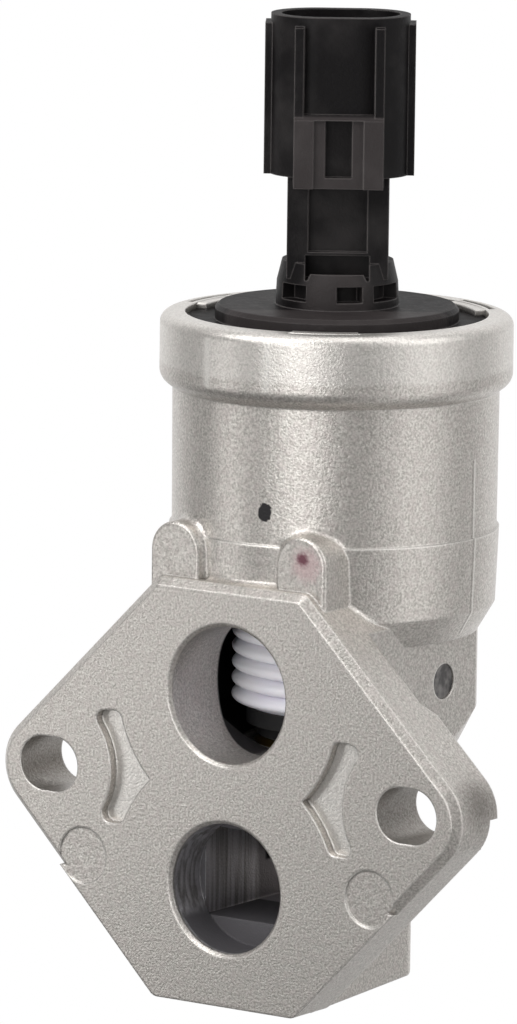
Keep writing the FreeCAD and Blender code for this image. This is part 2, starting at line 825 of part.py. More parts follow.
def ring_sector(inner, outer, bottom, height, angle, sweep):
    """A piece of a ring about the valve's axis, centred on an angle."""
    up = Vector(0, 0, 1)
    foot = Vector(0, s.axis_depth, bottom)
    sector = Part.makeCylinder(outer, height, foot, up, float(sweep))
    sector = sector.cut(Part.makeCylinder(inner, 3 * height, foot - up * float(height), up))
    sector.rotate(foot, up, angle - sweep / 2)
    return sector


def stake_groove(angle):
    """The arc-shaped mark that the staking punch leaves in the rim."""
    inner = lip_radius + s.stake_wall
    return ring_sector(inner, inner + s.stake_groove, rim_top - s.stake_groove_depth,
                       2 * s.stake_groove_depth, angle, s.stake_sweep)


def stake_tab(angle):
    """The sliver of the rim that is folded over the cap's ledge, rooted in the wall beside the groove."""
    return ring_sector(tab_radius, lip_radius + s.stake_wall / 2, cap_ledge, s.stake_height,
                       angle, s.stake_sweep)


def valve_body():
    """The die casting: the blank less the pad flat, plug bore, face pockets, ejector marks and stakes."""
    blank = housing_blank()
    cuts = []

    flat = doc.addObject("Part::Box", "pad_flat")
    bind(flat, "Length", s.neck_radius)
    bind(flat, "Width", 2 * s.neck_radius)
    bind(flat, "Height", s.neck_top - s.pad_foot)
    place(flat, x=s.pad_offset, y=s.axis_depth - s.neck_radius, z=s.pad_foot)
    cuts.append(flat)

    bore = doc.addObject("Part::Cylinder", "plug_bore")
    bind(bore, "Radius", s.plug_radius)
    bind(bore, "Height", s.plug_length + s.plug_recess)
    lay_plug(bore)
    cuts.append(bore)

    marks = []
    for side in (-1, 1):
        marks.append(face_pocket(side))
        marks.append(Part.makeCylinder(s.ejector_radius, 2 * s.ejector_depth,
                                       Vector(side * s.ejector_spread, -s.ejector_depth, -s.ejector_drop),
                                       Vector(0, 1, 0)))
    count = int(s.stake_count)
    angles = [s.stake_first_angle + 360 / count * turn for turn in range(count)]
    marks += [stake_groove(angle) for angle in angles]
    cuts.append(solid_feature("face_marks", Part.makeCompound(marks), y=AXIS))

    cut = doc.addObject("Part::Cut", "casting_cut")
    tools = doc.addObject("Part::MultiFuse", "casting_tools")
    tools.Shapes = cuts
    cut.Base = blank
    cut.Tool = tools

    tabs = solid_feature("stake_tabs", Part.makeCompound([stake_tab(angle) for angle in angles]),
                         y=AXIS)
    casting = doc.addObject("Part::MultiFuse", "valve_body")
    casting.Shapes = [cut, tabs]
    casting.Label = "valve_body"
    casting.Refine = True
    return casting


def lay_plug(cylinder):
    """Lay a cylinder along X, from the bottom of the plug's bore outwards."""
    along_x = FreeCAD.Rotation(Vector(0, 1, 0), 90)
    cylinder.Placement = FreeCAD.Placement(Vector(0, 0, 0), along_x)
    place(cylinder, x=s.pad_offset - s.plug_length - s.plug_recess, y=s.axis_depth + s.plug_shift,
          z=s.plug_height)


def side_plug():
    """The plug pressed into the flat pad of the neck."""
    plug = doc.addObject("Part::Cylinder", "side_plug")
    bind(plug, "Radius", s.plug_radius)
    bind(plug, "Height", s.plug_length)
    lay_plug(plug)
    plug.Label = "side_plug"
    return plug


# Valve seat, head and bellows

def valve_seat():
    """Ring pressed into the chamber's floor, with a narrow raised land."""
    land = s.seat_bore + (s.seat_radius - s.seat_bore) / 2
    return turned("valve_seat", [
        (s.seat_bore, seat_foot),
        (s.seat_radius, seat_foot),
        (s.seat_radius, s.chamber_floor),
        (land, seat_top),
        (s.seat_bore, seat_top),
    ])


def valve_head():
    """The disc that closes the seat, and the carrier on which the bellows stands."""
    return turned("valve_head", [
        (s.shaft_radius, head_bottom),
        (s.head_radius, head_bottom),
        (s.head_radius, carrier_bottom),
        (s.carrier_radius, carrier_bottom),
        (s.carrier_radius, bellows_bottom),
        (s.shaft_radius, bellows_bottom),
    ])


def head_clip():
    """The ring under the valve head."""
    return ring("head_clip", s.shaft_radius, s.clip_radius, head_bottom - s.clip_thickness, head_bottom)


def bellows_wave(crest, root, first, last, crest_half):
    """One side of the folded wall, from the lowest crest up to the root under the flange."""
    pitch = (last - first) / s.bellows_folds
    corners = []
    for fold in range(int(s.bellows_folds)):
        middle = first + pitch * (fold + 0.5)
        corners += [(crest, middle - crest_half), (crest, middle + crest_half)]
        corners += [(root, middle + crest_half), (root, middle + pitch - crest_half)]
    return corners


def bellows():
    """Thin convoluted tube: a solid bead on the valve head, square folds, and a flat flange at the top."""
    wall = s.bellows_wall
    bottom = bellows_bottom
    top = bellows_top
    rim = clamp_recess_radius - s.bellows_rim_gap
    inner_root = s.bellows_root - wall
    outer = bellows_wave(s.bellows_radius, s.bellows_root, bottom, top - wall, s.bellows_crest_half)
    inner = bellows_wave(s.bellows_radius - wall, inner_root, bottom, top - wall, s.bellows_crest_half - wall)
    return turned("bellows", [
        (s.bellows_eye, bottom),
        (s.bellows_radius, bottom),
        *outer[1:-1],
        (s.bellows_root, top - wall),
        (rim, top - wall),
        (rim, top),
        (inner_root, top),
        *reversed(inner[3:-1]),
        (inner_root, bottom + wall),
        (s.bellows_eye, bottom + wall),
    ])


def bellows_lower_ring():
    """The washer inside the bellows that clamps its foot to the head."""
    bottom = bellows_bottom + s.bellows_wall
    return ring("bellows_lower_ring", s.shaft_radius, s.lower_ring_radius,
                bottom, bottom + s.lower_ring_thickness)


def bellows_upper_ring():
    """The ring that clamps the bellows' flange under the lower yoke plate."""
    return ring("bellows_upper_ring", s.upper_ring_bore, clamp_recess_radius - s.fit_gap,
                bellows_top, s.can_floor)


# Solenoid

def lower_yoke_plate():
    """The lower plate, with the seal's groove in its edge."""
    groove = plate_radius - 2 * s.seal_wire
    margin = (s.plate_thickness - 2 * s.seal_wire) / 2
    return turned("lower_yoke_plate", [
        (s.bush_radius, s.can_floor),
        (plate_radius, s.can_floor),
        (plate_radius, s.can_floor + margin),
        (groove, s.can_floor + margin),
        (groove, plate_top - margin),
        (plate_radius, plate_top - margin),
        (plate_radius, plate_top),
        (s.bush_radius, plate_top),
    ])


def seal(label, middle, outer):
    """A square-cut seal ring squeezed in its groove."""
    reach = s.seal_wire - s.fit_gap / 2
    return ring(label, outer - 2 * s.seal_wire + s.fit_gap / 2, outer, middle - reach, middle + reach)


def plate_seal_ring():
    """The seal between the lower yoke plate and the can."""
    return seal("plate_seal_ring", s.can_floor + s.plate_thickness / 2, shell_radius)


def bush(label, bottom):
    """A plain bush for the shaft."""
    return ring(label, s.shaft_radius + s.running_gap, s.bush_radius, bottom, bottom + s.bush_length)


def yoke_shell():
    """The steel sleeve round the coil."""
    return ring("yoke_shell", shell_radius - s.shell_wall, shell_radius, plate_top, solenoid_top)


def terminal_blank(label, side, margin):
    """A terminal in the connector's frame: blade, strip and leg, larger all round by a margin."""
    body = doc.addObject("PartDesign::Body", label)
    body.Label = label
    place(body, y=s.axis_depth, clock=s.connector_clock)
    half = s.blade_half_width + margin
    tip = s.blade_half_width - s.blade_taper / 2 + margin
    leg = s.leg_half_width + margin
    run_bottom = strip_bottom - margin
    run_top = strip_bottom + s.strip_height + margin
    corners = [
        (s.blade_spread - half, run_bottom),
        (s.leg_spread - leg, run_bottom),
        (s.leg_spread - leg, leg_bottom - margin),
        (s.leg_spread + leg, leg_bottom - margin),
        (s.leg_spread + leg, run_top),
        (s.blade_spread + half, run_top),
        (s.blade_spread + half, blade_tip - s.blade_taper + margin),
        (s.blade_spread + tip, blade_tip + margin),
        (s.blade_spread - tip, blade_tip + margin),
        (s.blade_spread - half, blade_tip - s.blade_taper + margin),
    ]
    outline = new_sketch(body, "XZ_Plane")
    polygon(outline, [(side * x, z) for x, z in corners])
    extrude(body, outline, s.blade_thickness + 2 * margin, both_sides=True)
    return body


def terminal_room():
    """The space that both terminals need, with a gap all round."""
    room = doc.addObject("Part::MultiFuse", "terminal_room")
    room.Shapes = [terminal_blank(f"room_{name}", side, s.blade_gap) for name, side in TERMINAL_SIDES.items()]
    return room


def less_terminals(label, piece, room):
    """A piece with the terminals' room cut out of it."""
    piece.Label = f"{label}_blank"
    cut = doc.addObject("Part::Cut", label)
    cut.Label = label
    cut.Base = piece
    cut.Tool = room
    return cut


def coil_bobbin():
    """The moulded bobbin, before its upper flange gets the pockets for the terminals' legs."""
    barrel = bobbin_bore + s.bobbin_wall
    low = plate_top + s.bobbin_flange
    high = solenoid_top - s.bobbin_flange
    return turned("coil_bobbin", [
        (bobbin_bore, plate_top),
        (bobbin_radius, plate_top),
        (bobbin_radius, low),
        (barrel, low),
        (barrel, high),
        (bobbin_radius, high),
        (bobbin_radius, solenoid_top),
        (bobbin_bore, solenoid_top),
    ])


def coil_winding():
    """The copper winding, as one ring."""
    return ring("coil_winding", bobbin_bore + s.bobbin_wall, bobbin_radius - s.winding_margin,
                plate_top + s.bobbin_flange, solenoid_top - s.bobbin_flange)


def guide_sleeve():
    """The thin tube in which the armature slides."""
    return ring("guide_sleeve", s.sleeve_radius - s.sleeve_wall, s.sleeve_radius, plate_top, solenoid_top)


def upper_yoke_plate():
    """The upper plate, between the coil and the cap."""
    return ring("upper_yoke_plate", s.sleeve_radius, plate_radius, solenoid_top, cap_underside)


def fixed_core():
    """The fixed pole: a turned bar with a conical nose and a stepped bore."""
    return turned("fixed_core", [
        (core_bore, core_bottom),
        (slide_radius - s.core_cone, core_bottom),
        (slide_radius, core_bottom + s.core_cone),
        (slide_radius, solenoid_top),
        (s.sleeve_radius, solenoid_top),
        (s.sleeve_radius, cap_underside),
        (core_bore, cap_underside),
    ])


def armature():
    """The moving steel slug, counterbored below for the balance spring."""
    return turned("armature", [
        (s.armature_counterbore, armature_bottom),
        (slide_radius, armature_bottom),
        (slide_radius, armature_top - s.core_cone),
        (slide_radius - s.core_cone, armature_top),
        (s.shaft_radius, armature_top),
        (s.shaft_radius, counterbore_top),
        (s.armature_counterbore, counterbore_top),
    ])


def valve_shaft():
    """The plunger's shaft, with a bevel at each end."""
    bevel = s.shaft_bevel
    return turned("valve_shaft", [
        (AXIS, shaft_foot),
        (s.shaft_radius - bevel, shaft_foot),
        (s.shaft_radius, shaft_foot + bevel),
        (s.shaft_radius, shaft_top),
        (AXIS, shaft_top),
    ])


def spring_seat():
    """The cup on the shaft's top that carries the return spring."""
    return turned("spring_seat", [
        (AXIS, shaft_top),
        (s.spring_seat_radius, shaft_top),
        (s.spring_seat_radius, shaft_top + s.spring_seat_rim),
        (s.return_spring_radius - 2 * s.return_spring_wire_radius, shaft_top + s.spring_seat_rim),
        (s.return_spring_radius - 2 * s.return_spring_wire_radius, shaft_top + 2 * s.spring_seat_rim),
        (AXIS, shaft_top + 2 * s.spring_seat_rim),
    ])


def coil_spring(label, radius, wire_radius, turns, bottom, top):
    """A compression spring between two seats: a four-sided wire carried along a helix."""
    body = new_body(label)
    seat = wire_radius + s.fit_gap
    start = bottom + seat
    wire = new_sketch(body, "XZ_Plane")
    polygon(wire, [
        (radius - wire_radius, start),
        (radius, start - wire_radius),
        (radius + wire_radius, start),
        (radius, start + wire_radius),
    ])
    coil = body.newObject("PartDesign::AdditiveHelix", "Coil")
    coil.Profile = wire
    coil.ReferenceAxis = (wire, ["V_Axis"])
    coil.Mode = "height-turns-angle"
    bind(coil, "Height", top - bottom - 2 * seat)
    bind(coil, "Turns", turns)
    return body


def return_spring():
    """The spring between the shaft's cup and the adjusting screw."""
    return coil_spring("return_spring", s.return_spring_radius, s.return_spring_wire_radius,
                       s.return_spring_turns, shaft_top + s.spring_seat_rim, screw_bottom)


def balance_spring():
    """The light spring between the lower yoke plate and the armature."""
    return coil_spring("balance_spring", s.balance_spring_radius, s.balance_spring_wire_radius,
                       s.balance_spring_turns, plate_top, counterbore_top)


def adjusting_screw():
    """The slotted screw that loads the return spring."""
    body = turned("adjusting_screw", [
        (AXIS, screw_bottom),
        (core_bore, screw_bottom),
        (core_bore, screw_top),
        (AXIS, screw_top),
    ])
    slot = new_sketch(body, "XY_Plane", screw_top)
    half = s.screw_slot / 2
    reach = core_bore + s.screw_slot
    polygon(slot, [(-reach, -half), (reach, -half), (reach, half), (-reach, half)])
    extrude(body, slot, s.screw_slot, cut=True)
    return body


# Cap and connector

def upright_box(body, left, right, front, back, bottom, top, cut=False):
    """A block of the connector, given by its six sides in the connector's own frame."""
    sketch = new_sketch(body, "XY_Plane", top if cut else bottom)
    polygon(sketch, [(left, front), (right, front), (right, back), (left, back)])
    return extrude(body, sketch, top - bottom, cut=cut)


def connector_cap():
    """The black moulding before its windows: cap, stepped foot, stem, latch block and oval socket."""
    body = doc.addObject("PartDesign::Body", "connector_blank")
    place(body, y=s.axis_depth, clock=s.connector_clock)
    seal_top = cap_underside + 2 * s.seal_wire
    seal_groove = cap_radius - 2 * s.seal_wire
    well = screw_top + s.running_gap
    spin(body, [
        (AXIS, well),
        (core_bore + s.screw_room, well),
        (core_bore + s.screw_room, cap_underside),
        (seal_groove, cap_underside),
        (seal_groove, seal_top),
        (cap_radius, seal_top),
        (cap_radius, cap_ledge),
        (s.plateau_radius, cap_ledge),
        (s.plateau_radius, plateau_top - s.plateau_chamfer),
        (s.plateau_radius - s.plateau_chamfer, plateau_top),
        (s.connector_foot_radius, plateau_top),
        (s.connector_foot_radius, window_bottom),
        (s.tier_radius, window_bottom + s.window_height),
        (s.tier_top_radius, tier_top),
        (AXIS, tier_top),
    ])

    upright_box(body, -s.stem_half, s.stem_half, -s.stem_depth_half, s.stem_depth_half,
                well_bottom, shroud_bottom)
    upright_box(body, -s.wing_half, s.wing_half, -s.wing_front, s.wing_back,
                shroud_bottom, wing_top)

    tube = new_sketch(body, "XY_Plane", shroud_bottom)
    stadium(tube, AXIS, AXIS, s.shroud_half, s.shroud_depth_half)
    extrude(body, tube, s.shroud_length)

    upright_box(body, -s.latch_half, s.latch_half, -s.latch_front, AXIS, latch_bottom, latch_top)
    for side in (-1, 1):
        edges = sorted((side * s.rail_half, side * (s.rail_half - s.rail_width)))
        upright_box(body, edges[0], edges[1], -s.rail_front, AXIS, latch_top, wing_top)

    socket = new_sketch(body, "XY_Plane", shroud_top)
    stadium(socket, AXIS, AXIS, s.shroud_half - s.shroud_wall, s.shroud_depth_half - s.shroud_wall)
    extrude(body, socket, s.socket_depth, cut=True)

    ease(body, "Chamfer", s.latch_chamfer,
         lambda edge: close(edge.CenterOfMass.z, latch_top) and close(edge.CenterOfMass.y, -s.latch_front))
    front = -s.latch_front - s.shroud_wall
    upright_box(body, -s.latch_relief_half, s.latch_relief_half, front, s.latch_relief_depth - s.latch_front,
                latch_bottom, latch_relief_top, cut=True)
    upright_box(body, -s.latch_slot_half, s.latch_slot_half, front, s.latch_slot_depth - s.latch_front,
                latch_slot_bottom, latch_relief_top, cut=True)
    upright_box(body, -s.stem_panel_half, s.stem_panel_half, front, s.stem_panel_depth - s.stem_depth_half,
                stem_panel_bottom, latch_bottom, cut=True)
    upright_box(body, -s.well_half, s.well_half, -s.well_front, -s.well_back,
                well_bottom, stem_panel_bottom - s.well_ledge, cut=True)
    upright_box(body, -s.well_half, s.well_half, front, -s.well_back,
                tier_top - s.tier_lip_drop, tier_top, cut=True)
    return body


def foot_windows():
    """The windows round the connector's foot, three in front and three behind, as sectors of a ring."""
    core = doc.addObject("Part::Cylinder", "window_core")
    bind(core, "Radius", s.tier_radius - s.window_depth)
    bind(core, "Height", s.window_height)
    place(core, y=s.axis_depth, z=window_bottom)
    windows = (
        (s.left_window_middle, s.left_window_sweep),
        (s.front_window_middle, s.front_window_sweep),
        (s.right_window_middle, s.right_window_sweep),
    )
    sectors = []
    for middle, sweep in windows:
        for half_turn in (0, 180):
            sector = doc.addObject("Part::Cylinder", "window_sector")
            bind(sector, "Radius", s.tier_radius + s.window_depth)
            bind(sector, "Height", s.window_height)
            bind(sector, "Angle", sweep)
            start = s.connector_clock + middle - sweep / 2 + (half_turn + FRONT_ANGLE)
            place(sector, y=s.axis_depth, z=window_bottom, clock=start)
            sectors.append(sector)
    fan = doc.addObject("Part::MultiFuse", "window_fan")
    fan.Shapes = sectors
    ring_of_windows = doc.addObject("Part::Cut", "foot_windows")
    ring_of_windows.Base = fan
    ring_of_windows.Tool = core
    return ring_of_windows


def windowed(cap):
    """The cap with the windows of its foot."""
    cap.Label = "connector_moulding"
    cut = doc.addObject("Part::Cut", "windowed_cap")
    cut.Base = cap
    cut.Tool = foot_windows()
    return cut


def cap_seal_ring():
    """The seal in the groove under the cap's edge."""
    return seal("cap_seal_ring", cap_underside + s.seal_wire, cap_radius)


# Assembly

def build():
    """Make every piece, in the order in which the valve is put together."""
    room = terminal_room()
    terminals = [terminal_blank(f"terminal_{name}", side, AXIS) for name, side in TERMINAL_SIDES.items()]
    return [
        valve_body(),
        side_plug(),
        valve_seat(),
        valve_head(),
        head_clip(),
        bellows(),
        bellows_lower_ring(),
        bellows_upper_ring(),
        lower_yoke_plate(),
        plate_seal_ring(),
        bush("lower_bush", s.can_floor - s.bush_drop),
        yoke_shell(),
        less_terminals("coil_bobbin", coil_bobbin(), room),
        coil_winding(),
        guide_sleeve(),
        balance_spring(),
        armature(),
        valve_shaft(),
        bush("upper_bush", core_bottom + s.running_gap),
        fixed_core(),
        spring_seat(),
        return_spring(),
        adjusting_screw(),
        less_terminals("upper_yoke_plate", upper_yoke_plate(), room),
        *terminals,
        cap_seal_ring(),
        less_terminals("connector_cap", windowed(connector_cap()), room),
    ]


def check(pieces):
    """Stop if any object failed, or any piece is not one valid solid shape."""
    failed = [obj.Label for obj in doc.Objects if "Invalid" in obj.State or "Error" in obj.State]
    if failed:
        raise RuntimeError(f"failed objects: {failed}")
    for piece in pieces:
        if piece.Shape.isNull() or not piece.Shape.isValid() or not piece.Shape.Solids:
            raise RuntimeError(f"{piece.Label} has no valid solid")


def write(pieces):
    """Write one file for each piece, named by its label."""
    os.makedirs("parts", exist_ok=True)
    for piece in pieces:
        piece.Shape.exportStep(os.path.join("parts", f"{piece.Label}.step"))


pieces = build()
doc.recompute()
check(pieces)
write(pieces)
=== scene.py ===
"""Looks of an idle air control valve: cast housing, moulded cap and plug socket, white bellows, inner parts.

The frame is the model's own, in metres: +X along the bolt holes, -Y out of the mounting face, and +Z up along
the valve's axis, which stands behind the face.
"""
import json
import math

import bmesh
import bpy
import numpy as np
from mathutils import Matrix, Vector


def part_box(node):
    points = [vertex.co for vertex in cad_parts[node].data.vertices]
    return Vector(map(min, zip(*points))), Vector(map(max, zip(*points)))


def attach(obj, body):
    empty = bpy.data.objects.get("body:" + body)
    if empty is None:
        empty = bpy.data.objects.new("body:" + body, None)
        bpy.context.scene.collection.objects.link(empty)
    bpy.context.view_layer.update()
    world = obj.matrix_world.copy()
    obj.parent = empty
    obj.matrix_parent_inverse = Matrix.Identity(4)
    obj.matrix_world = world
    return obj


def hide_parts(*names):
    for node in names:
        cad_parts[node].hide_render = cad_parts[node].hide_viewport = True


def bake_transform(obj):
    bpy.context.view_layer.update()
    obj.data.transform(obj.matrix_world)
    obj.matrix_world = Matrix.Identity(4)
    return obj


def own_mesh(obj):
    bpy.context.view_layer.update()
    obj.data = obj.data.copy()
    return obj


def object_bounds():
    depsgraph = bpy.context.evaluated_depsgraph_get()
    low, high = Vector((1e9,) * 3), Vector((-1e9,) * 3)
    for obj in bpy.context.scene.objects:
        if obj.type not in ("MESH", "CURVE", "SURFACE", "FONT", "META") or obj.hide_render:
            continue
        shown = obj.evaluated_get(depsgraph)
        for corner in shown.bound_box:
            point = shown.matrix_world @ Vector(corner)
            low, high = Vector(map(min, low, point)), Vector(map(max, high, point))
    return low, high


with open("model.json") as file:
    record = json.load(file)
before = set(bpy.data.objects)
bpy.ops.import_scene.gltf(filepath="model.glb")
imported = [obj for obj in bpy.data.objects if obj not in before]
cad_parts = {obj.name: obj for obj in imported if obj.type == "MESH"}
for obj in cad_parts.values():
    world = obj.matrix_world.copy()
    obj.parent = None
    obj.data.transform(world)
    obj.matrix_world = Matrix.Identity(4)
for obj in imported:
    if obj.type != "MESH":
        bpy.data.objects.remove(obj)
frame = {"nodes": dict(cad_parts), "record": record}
cad_low, cad_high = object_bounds()

# Places and sizes read from the frame

MILLIMETRE = 0.001
SHELL_LOW, SHELL_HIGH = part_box("yoke_shell")
AXIS_Y = (SHELL_LOW.y + SHELL_HIGH.y) / 2
BELLOWS_LOW, BELLOWS_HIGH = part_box("bellows")
PLUG_TURN = math.radians(34)

# The photograph's frame, and the camera that fits the valve to it

PHOTO_HEIGHT = 1024
PHOTO_CENTRE = (258.5, 512.0)
ORIGIN_PIXEL = (225.3, 789.6)
PIXELS_PER_METRE = 8500.0
FOCAL_PIXELS = 9000.0
CAMERA_AZIMUTH = math.radians(35.13)
CAMERA_ELEVATION = math.radians(9.31)
CAMERA_ROLL = math.radians(0.713)
SENSOR_WIDTH = 36.0
NEAREST_SEEN = 0.01

# Lamps: name, azimuth and elevation in degrees, distance, width and watts

LAMPS = (
    ("card", -42, -11, 0.32, 0.1, 0.08),
    ("front", 12, 2, 0.5, 0.3, 0.6),
    ("key", -20, 42, 0.5, 0.35, 1.5),
    ("fill", 100, 30, 0.7, 0.5, 0.9),
    ("top", 60, 80, 0.6, 0.5, 0.9),
)
AMBIENT = 0.5

# The floor, and the place near which a painted shadow dims its reflection: distances, and brightness at each

FLOOR_DROP = 0.05
FLOOR_HALF_WIDTH = 3.0
FLOOR_SHADOW_PLACE = (-0.1, -0.16)
FLOOR_SHADOW_REACH = (0.12, 0.45)
FLOOR_SHADOW_LEVELS = (0.3, 1.1)

# What a reflection meets round the valve: angle from the camera's side, rightwards, and brightness

STUDIO_STEPS = (
    (-180, 1.0), (-150, 1.0), (-122, 0.4), (-98, 0.08), (-58, 0.05), (-42, 0.3), (-32, 0.9), (-20, 0.7),
    (-6, 0.1), (14, 0.2), (32, 0.42), (48, 1.05), (66, 1.3), (80, 0.65), (98, 0.4), (112, 0.5), (135, 1.0),
    (180, 1.0),
)


def srgb(red, green, blue):
    """A colour given in the usual 0 to 255 steps, as linear light."""
    def linear(step):
        share = step / 255
        return share / 12.92 if share <= 0.04045 else ((share + 0.055) / 1.055) ** 2.4
    return (linear(red), linear(green), linear(blue), 1.0)


# Shader helpers

def add(tree, kind, inputs=None, **settings):
    """A node whose settings are given by name, and whose inputs get a number or another node's output."""
    node = tree.nodes.new(kind)
    for name, value in settings.items():
        setattr(node, name, value)
    for name, value in (inputs or {}).items():
        if isinstance(value, bpy.types.NodeSocket):
            tree.links.new(value, node.inputs[name])
        else:
            node.inputs[name].default_value = value
    return node


def new_material(name):
    """An empty material: itself, its tree and its output node."""
    material = bpy.data.materials.new(name)
    material.use_nodes = True
    material.node_tree.nodes.clear()
    output = material.node_tree.nodes.new("ShaderNodeOutputMaterial")
    return material, material.node_tree, output


def new_group(name, inputs, outputs):
    """An empty node group: itself, its input node and its output node."""
    group = bpy.data.node_groups.new(name, "ShaderNodeTree")
    for label, kind, value in inputs:
        socket = group.interface.new_socket(label, in_out="INPUT", socket_type=f"NodeSocket{kind}")
        if value is not None:
            socket.default_value = value
    for label, kind in outputs:
        group.interface.new_socket(label, in_out="OUTPUT", socket_type=f"NodeSocket{kind}")
    return group, group.nodes.new("NodeGroupInput"), group.nodes.new("NodeGroupOutput")


def place_group(tree, group, inputs):
    """A node group placed in a material with its own values."""
    return add(tree, "ShaderNodeGroup", inputs, node_tree=group)


def math_node(tree, operation, first, second=0.0, third=0.0, clamp=False):
    """The output of one sum on numbers or outputs."""
    inputs = {0: first, 1: second, 2: third}
    return add(tree, "ShaderNodeMath", inputs, operation=operation, use_clamp=clamp).outputs[0]


def both(tree, first, second):
    """Where two masks overlap, or one mask at a share of its strength."""
    return math_node(tree, "MULTIPLY", first, second)


def either(tree, first, second):
    """Where at least one of two masks lies."""
    return math_node(tree, "MAXIMUM", first, second)


def remap(tree, value, low, high, new_low=0.0, new_high=1.0):
    """A value carried smoothly from one range to another, and held at its ends."""
    node = add(tree, "ShaderNodeMapRange",
               {"Value": value, "From Min": low, "From Max": high, "To Min": new_low, "To Max": new_high},
               interpolation_type="SMOOTHSTEP")
    return node.outputs["Result"]


def rising(tree, value, bounds):
    """0 below the first bound and 1 past the second, in millimetres."""
    low, high = bounds
    return remap(tree, value, low * MILLIMETRE, high * MILLIMETRE)


def falling(tree, value, bounds):
    """1 below the first bound and 0 past the second, in millimetres."""
    low, high = bounds
    return remap(tree, value, low * MILLIMETRE, high * MILLIMETRE, 1.0, 0.0)


def between(tree, value, bounds, feather):
    """1 between two bounds and 0 outside, with soft borders, in millimetres."""
    low, high = bounds
    above = rising(tree, value, (low - feather, low + feather))
    below = falling(tree, value, (high - feather, high + feather))
    return both(tree, above, below)


def mix_colours(tree, share, first, second):
    """The second colour laid over the first by a share."""
    node = add(tree, "ShaderNodeMix", {0: share, 6: first, 7: second}, data_type="RGBA")
    return node.outputs[2]


def mix_values(tree, share, first, second):
    """The second value laid over the first by a share."""
    node = add(tree, "ShaderNodeMix", {0: share, 2: first, 3: second}, data_type="FLOAT")
    return node.outputs[0]


def lay(tree, colour, paint, mask, strength=None):
    """A paint laid over a colour where a mask is, in full or at a strength."""
    share = mask if strength is None else both(tree, mask, strength)
    return mix_colours(tree, share, colour, paint)


def object_place(tree):
    """The point of the surface in the frame."""
    return add(tree, "ShaderNodeTexCoord").outputs["Object"]


def face_normal(tree):
    """The direction in which the surface looks."""
    return add(tree, "ShaderNodeNewGeometry").outputs["Normal"]


def split(tree, vector):
    """The three numbers of a vector, along X, Y and Z."""
    return tuple(add(tree, "ShaderNodeSeparateXYZ", {0: vector}).outputs)


def line_distance(tree, across, other, centre):
    """Distance from a line at 0 along X and at a centre along the other axis."""
    aside = math_node(tree, "SUBTRACT", other, centre)
    square = both(tree, aside, aside)
    return math_node(tree, "SQRT", math_node(tree, "MULTIPLY_ADD", across, across, square))


def finish_skin(tree, output, inputs, relief, normal=None):
    """A Principled skin over a fine relief, given as its height, strength and depth, joined to the output."""
    height, strength, depth = relief
    bump = add(tree, "ShaderNodeBump", {"Strength": strength, "Distance": depth, "Height": height})
    if normal is not None:
        tree.links.new(normal, bump.inputs["Normal"])
    skin = add(tree, "ShaderNodeBsdfPrincipled", {**inputs, "Normal": bump.outputs[0]})
    tree.links.new(skin.outputs[0], output.inputs["Surface"])


# Effects that several materials share

GRAIN_LAYERS = (("Fine", 1.0, 2.0), ("Coarse", 0.3, 3.0), ("Mottle", 0.03, 4.0))
RAG_SCALE = 2500.0
RAG_SHARE = 0.6


def make_studio():
    """Brightness of the surroundings by direction: white behind the valve, soft boxes and gaps before it."""
    group, given, result = new_group("studio", [("Vector", "Vector", None)], [("Strength", "Float")])
    x, y, _ = split(group, given.outputs["Vector"])
    side_x = both(group, x, math.cos(CAMERA_AZIMUTH))
    side = math_node(group, "MULTIPLY_ADD", y, math.sin(CAMERA_AZIMUTH), side_x)
    ahead_x = both(group, x, math.sin(CAMERA_AZIMUTH))
    ahead = math_node(group, "MULTIPLY_ADD", y, -math.cos(CAMERA_AZIMUTH), ahead_x)
    angle = math_node(group, "ARCTAN2", side, ahead)
    share = math_node(group, "MULTIPLY_ADD", angle, 0.5 / math.pi, 0.5)
    ramp = add(group, "ShaderNodeValToRGB", {"Fac": share})
    steps = ramp.color_ramp.elements
    while len(steps) < len(STUDIO_STEPS):
        steps.new(1.0)
    for step, (degrees, level) in zip(steps, STUDIO_STEPS):
        step.position = degrees / 360 + 0.5
        step.color = (level, level, level, 1.0)
    group.links.new(ramp.outputs["Color"], result.inputs["Strength"])
    return group


def make_grain():
    """Fine grain, coarse grain and broad mottling of a blasted or moulded skin, each from 0 to 1."""
    group, given, result = new_group(
        "grain", [("Vector", "Vector", None), ("Size", "Float", 0.0003)],
        [("Fine", "Float"), ("Coarse", "Float"), ("Mottle", "Float")])
    scale = math_node(group, "DIVIDE", 1.0, given.outputs["Size"])
    for output, share, detail in GRAIN_LAYERS:
        step = both(group, scale, share)
        noise = add(group, "ShaderNodeTexNoise",
                    {"Vector": given.outputs["Vector"], "Scale": step, "Detail": detail, "Roughness": 0.6})
        group.links.new(noise.outputs[0], result.inputs[output])
    return group


def make_edge_wear():
    """How sharply the surface turns within a radius, from 0 on the flat to 1, and its rounded normal."""
    group, given, result = new_group(
        "edge_wear", [("Radius", "Float", 0.0004), ("Gain", "Float", 8.0)],
        [("Edge", "Float"), ("Normal", "Vector")])
    rounded = add(group, "ShaderNodeBevel", {"Radius": given.outputs["Radius"]}, samples=6)
    lean = add(group, "ShaderNodeVectorMath",
               {0: rounded.outputs[0], 1: face_normal(group)}, operation="DOT_PRODUCT")
    turn = math_node(group, "SUBTRACT", 1.0, lean.outputs["Value"])
    edge = math_node(group, "MULTIPLY", turn, given.outputs["Gain"], clamp=True)
    group.links.new(edge, result.inputs["Edge"])
    group.links.new(rounded.outputs[0], result.inputs["Normal"])
    return group


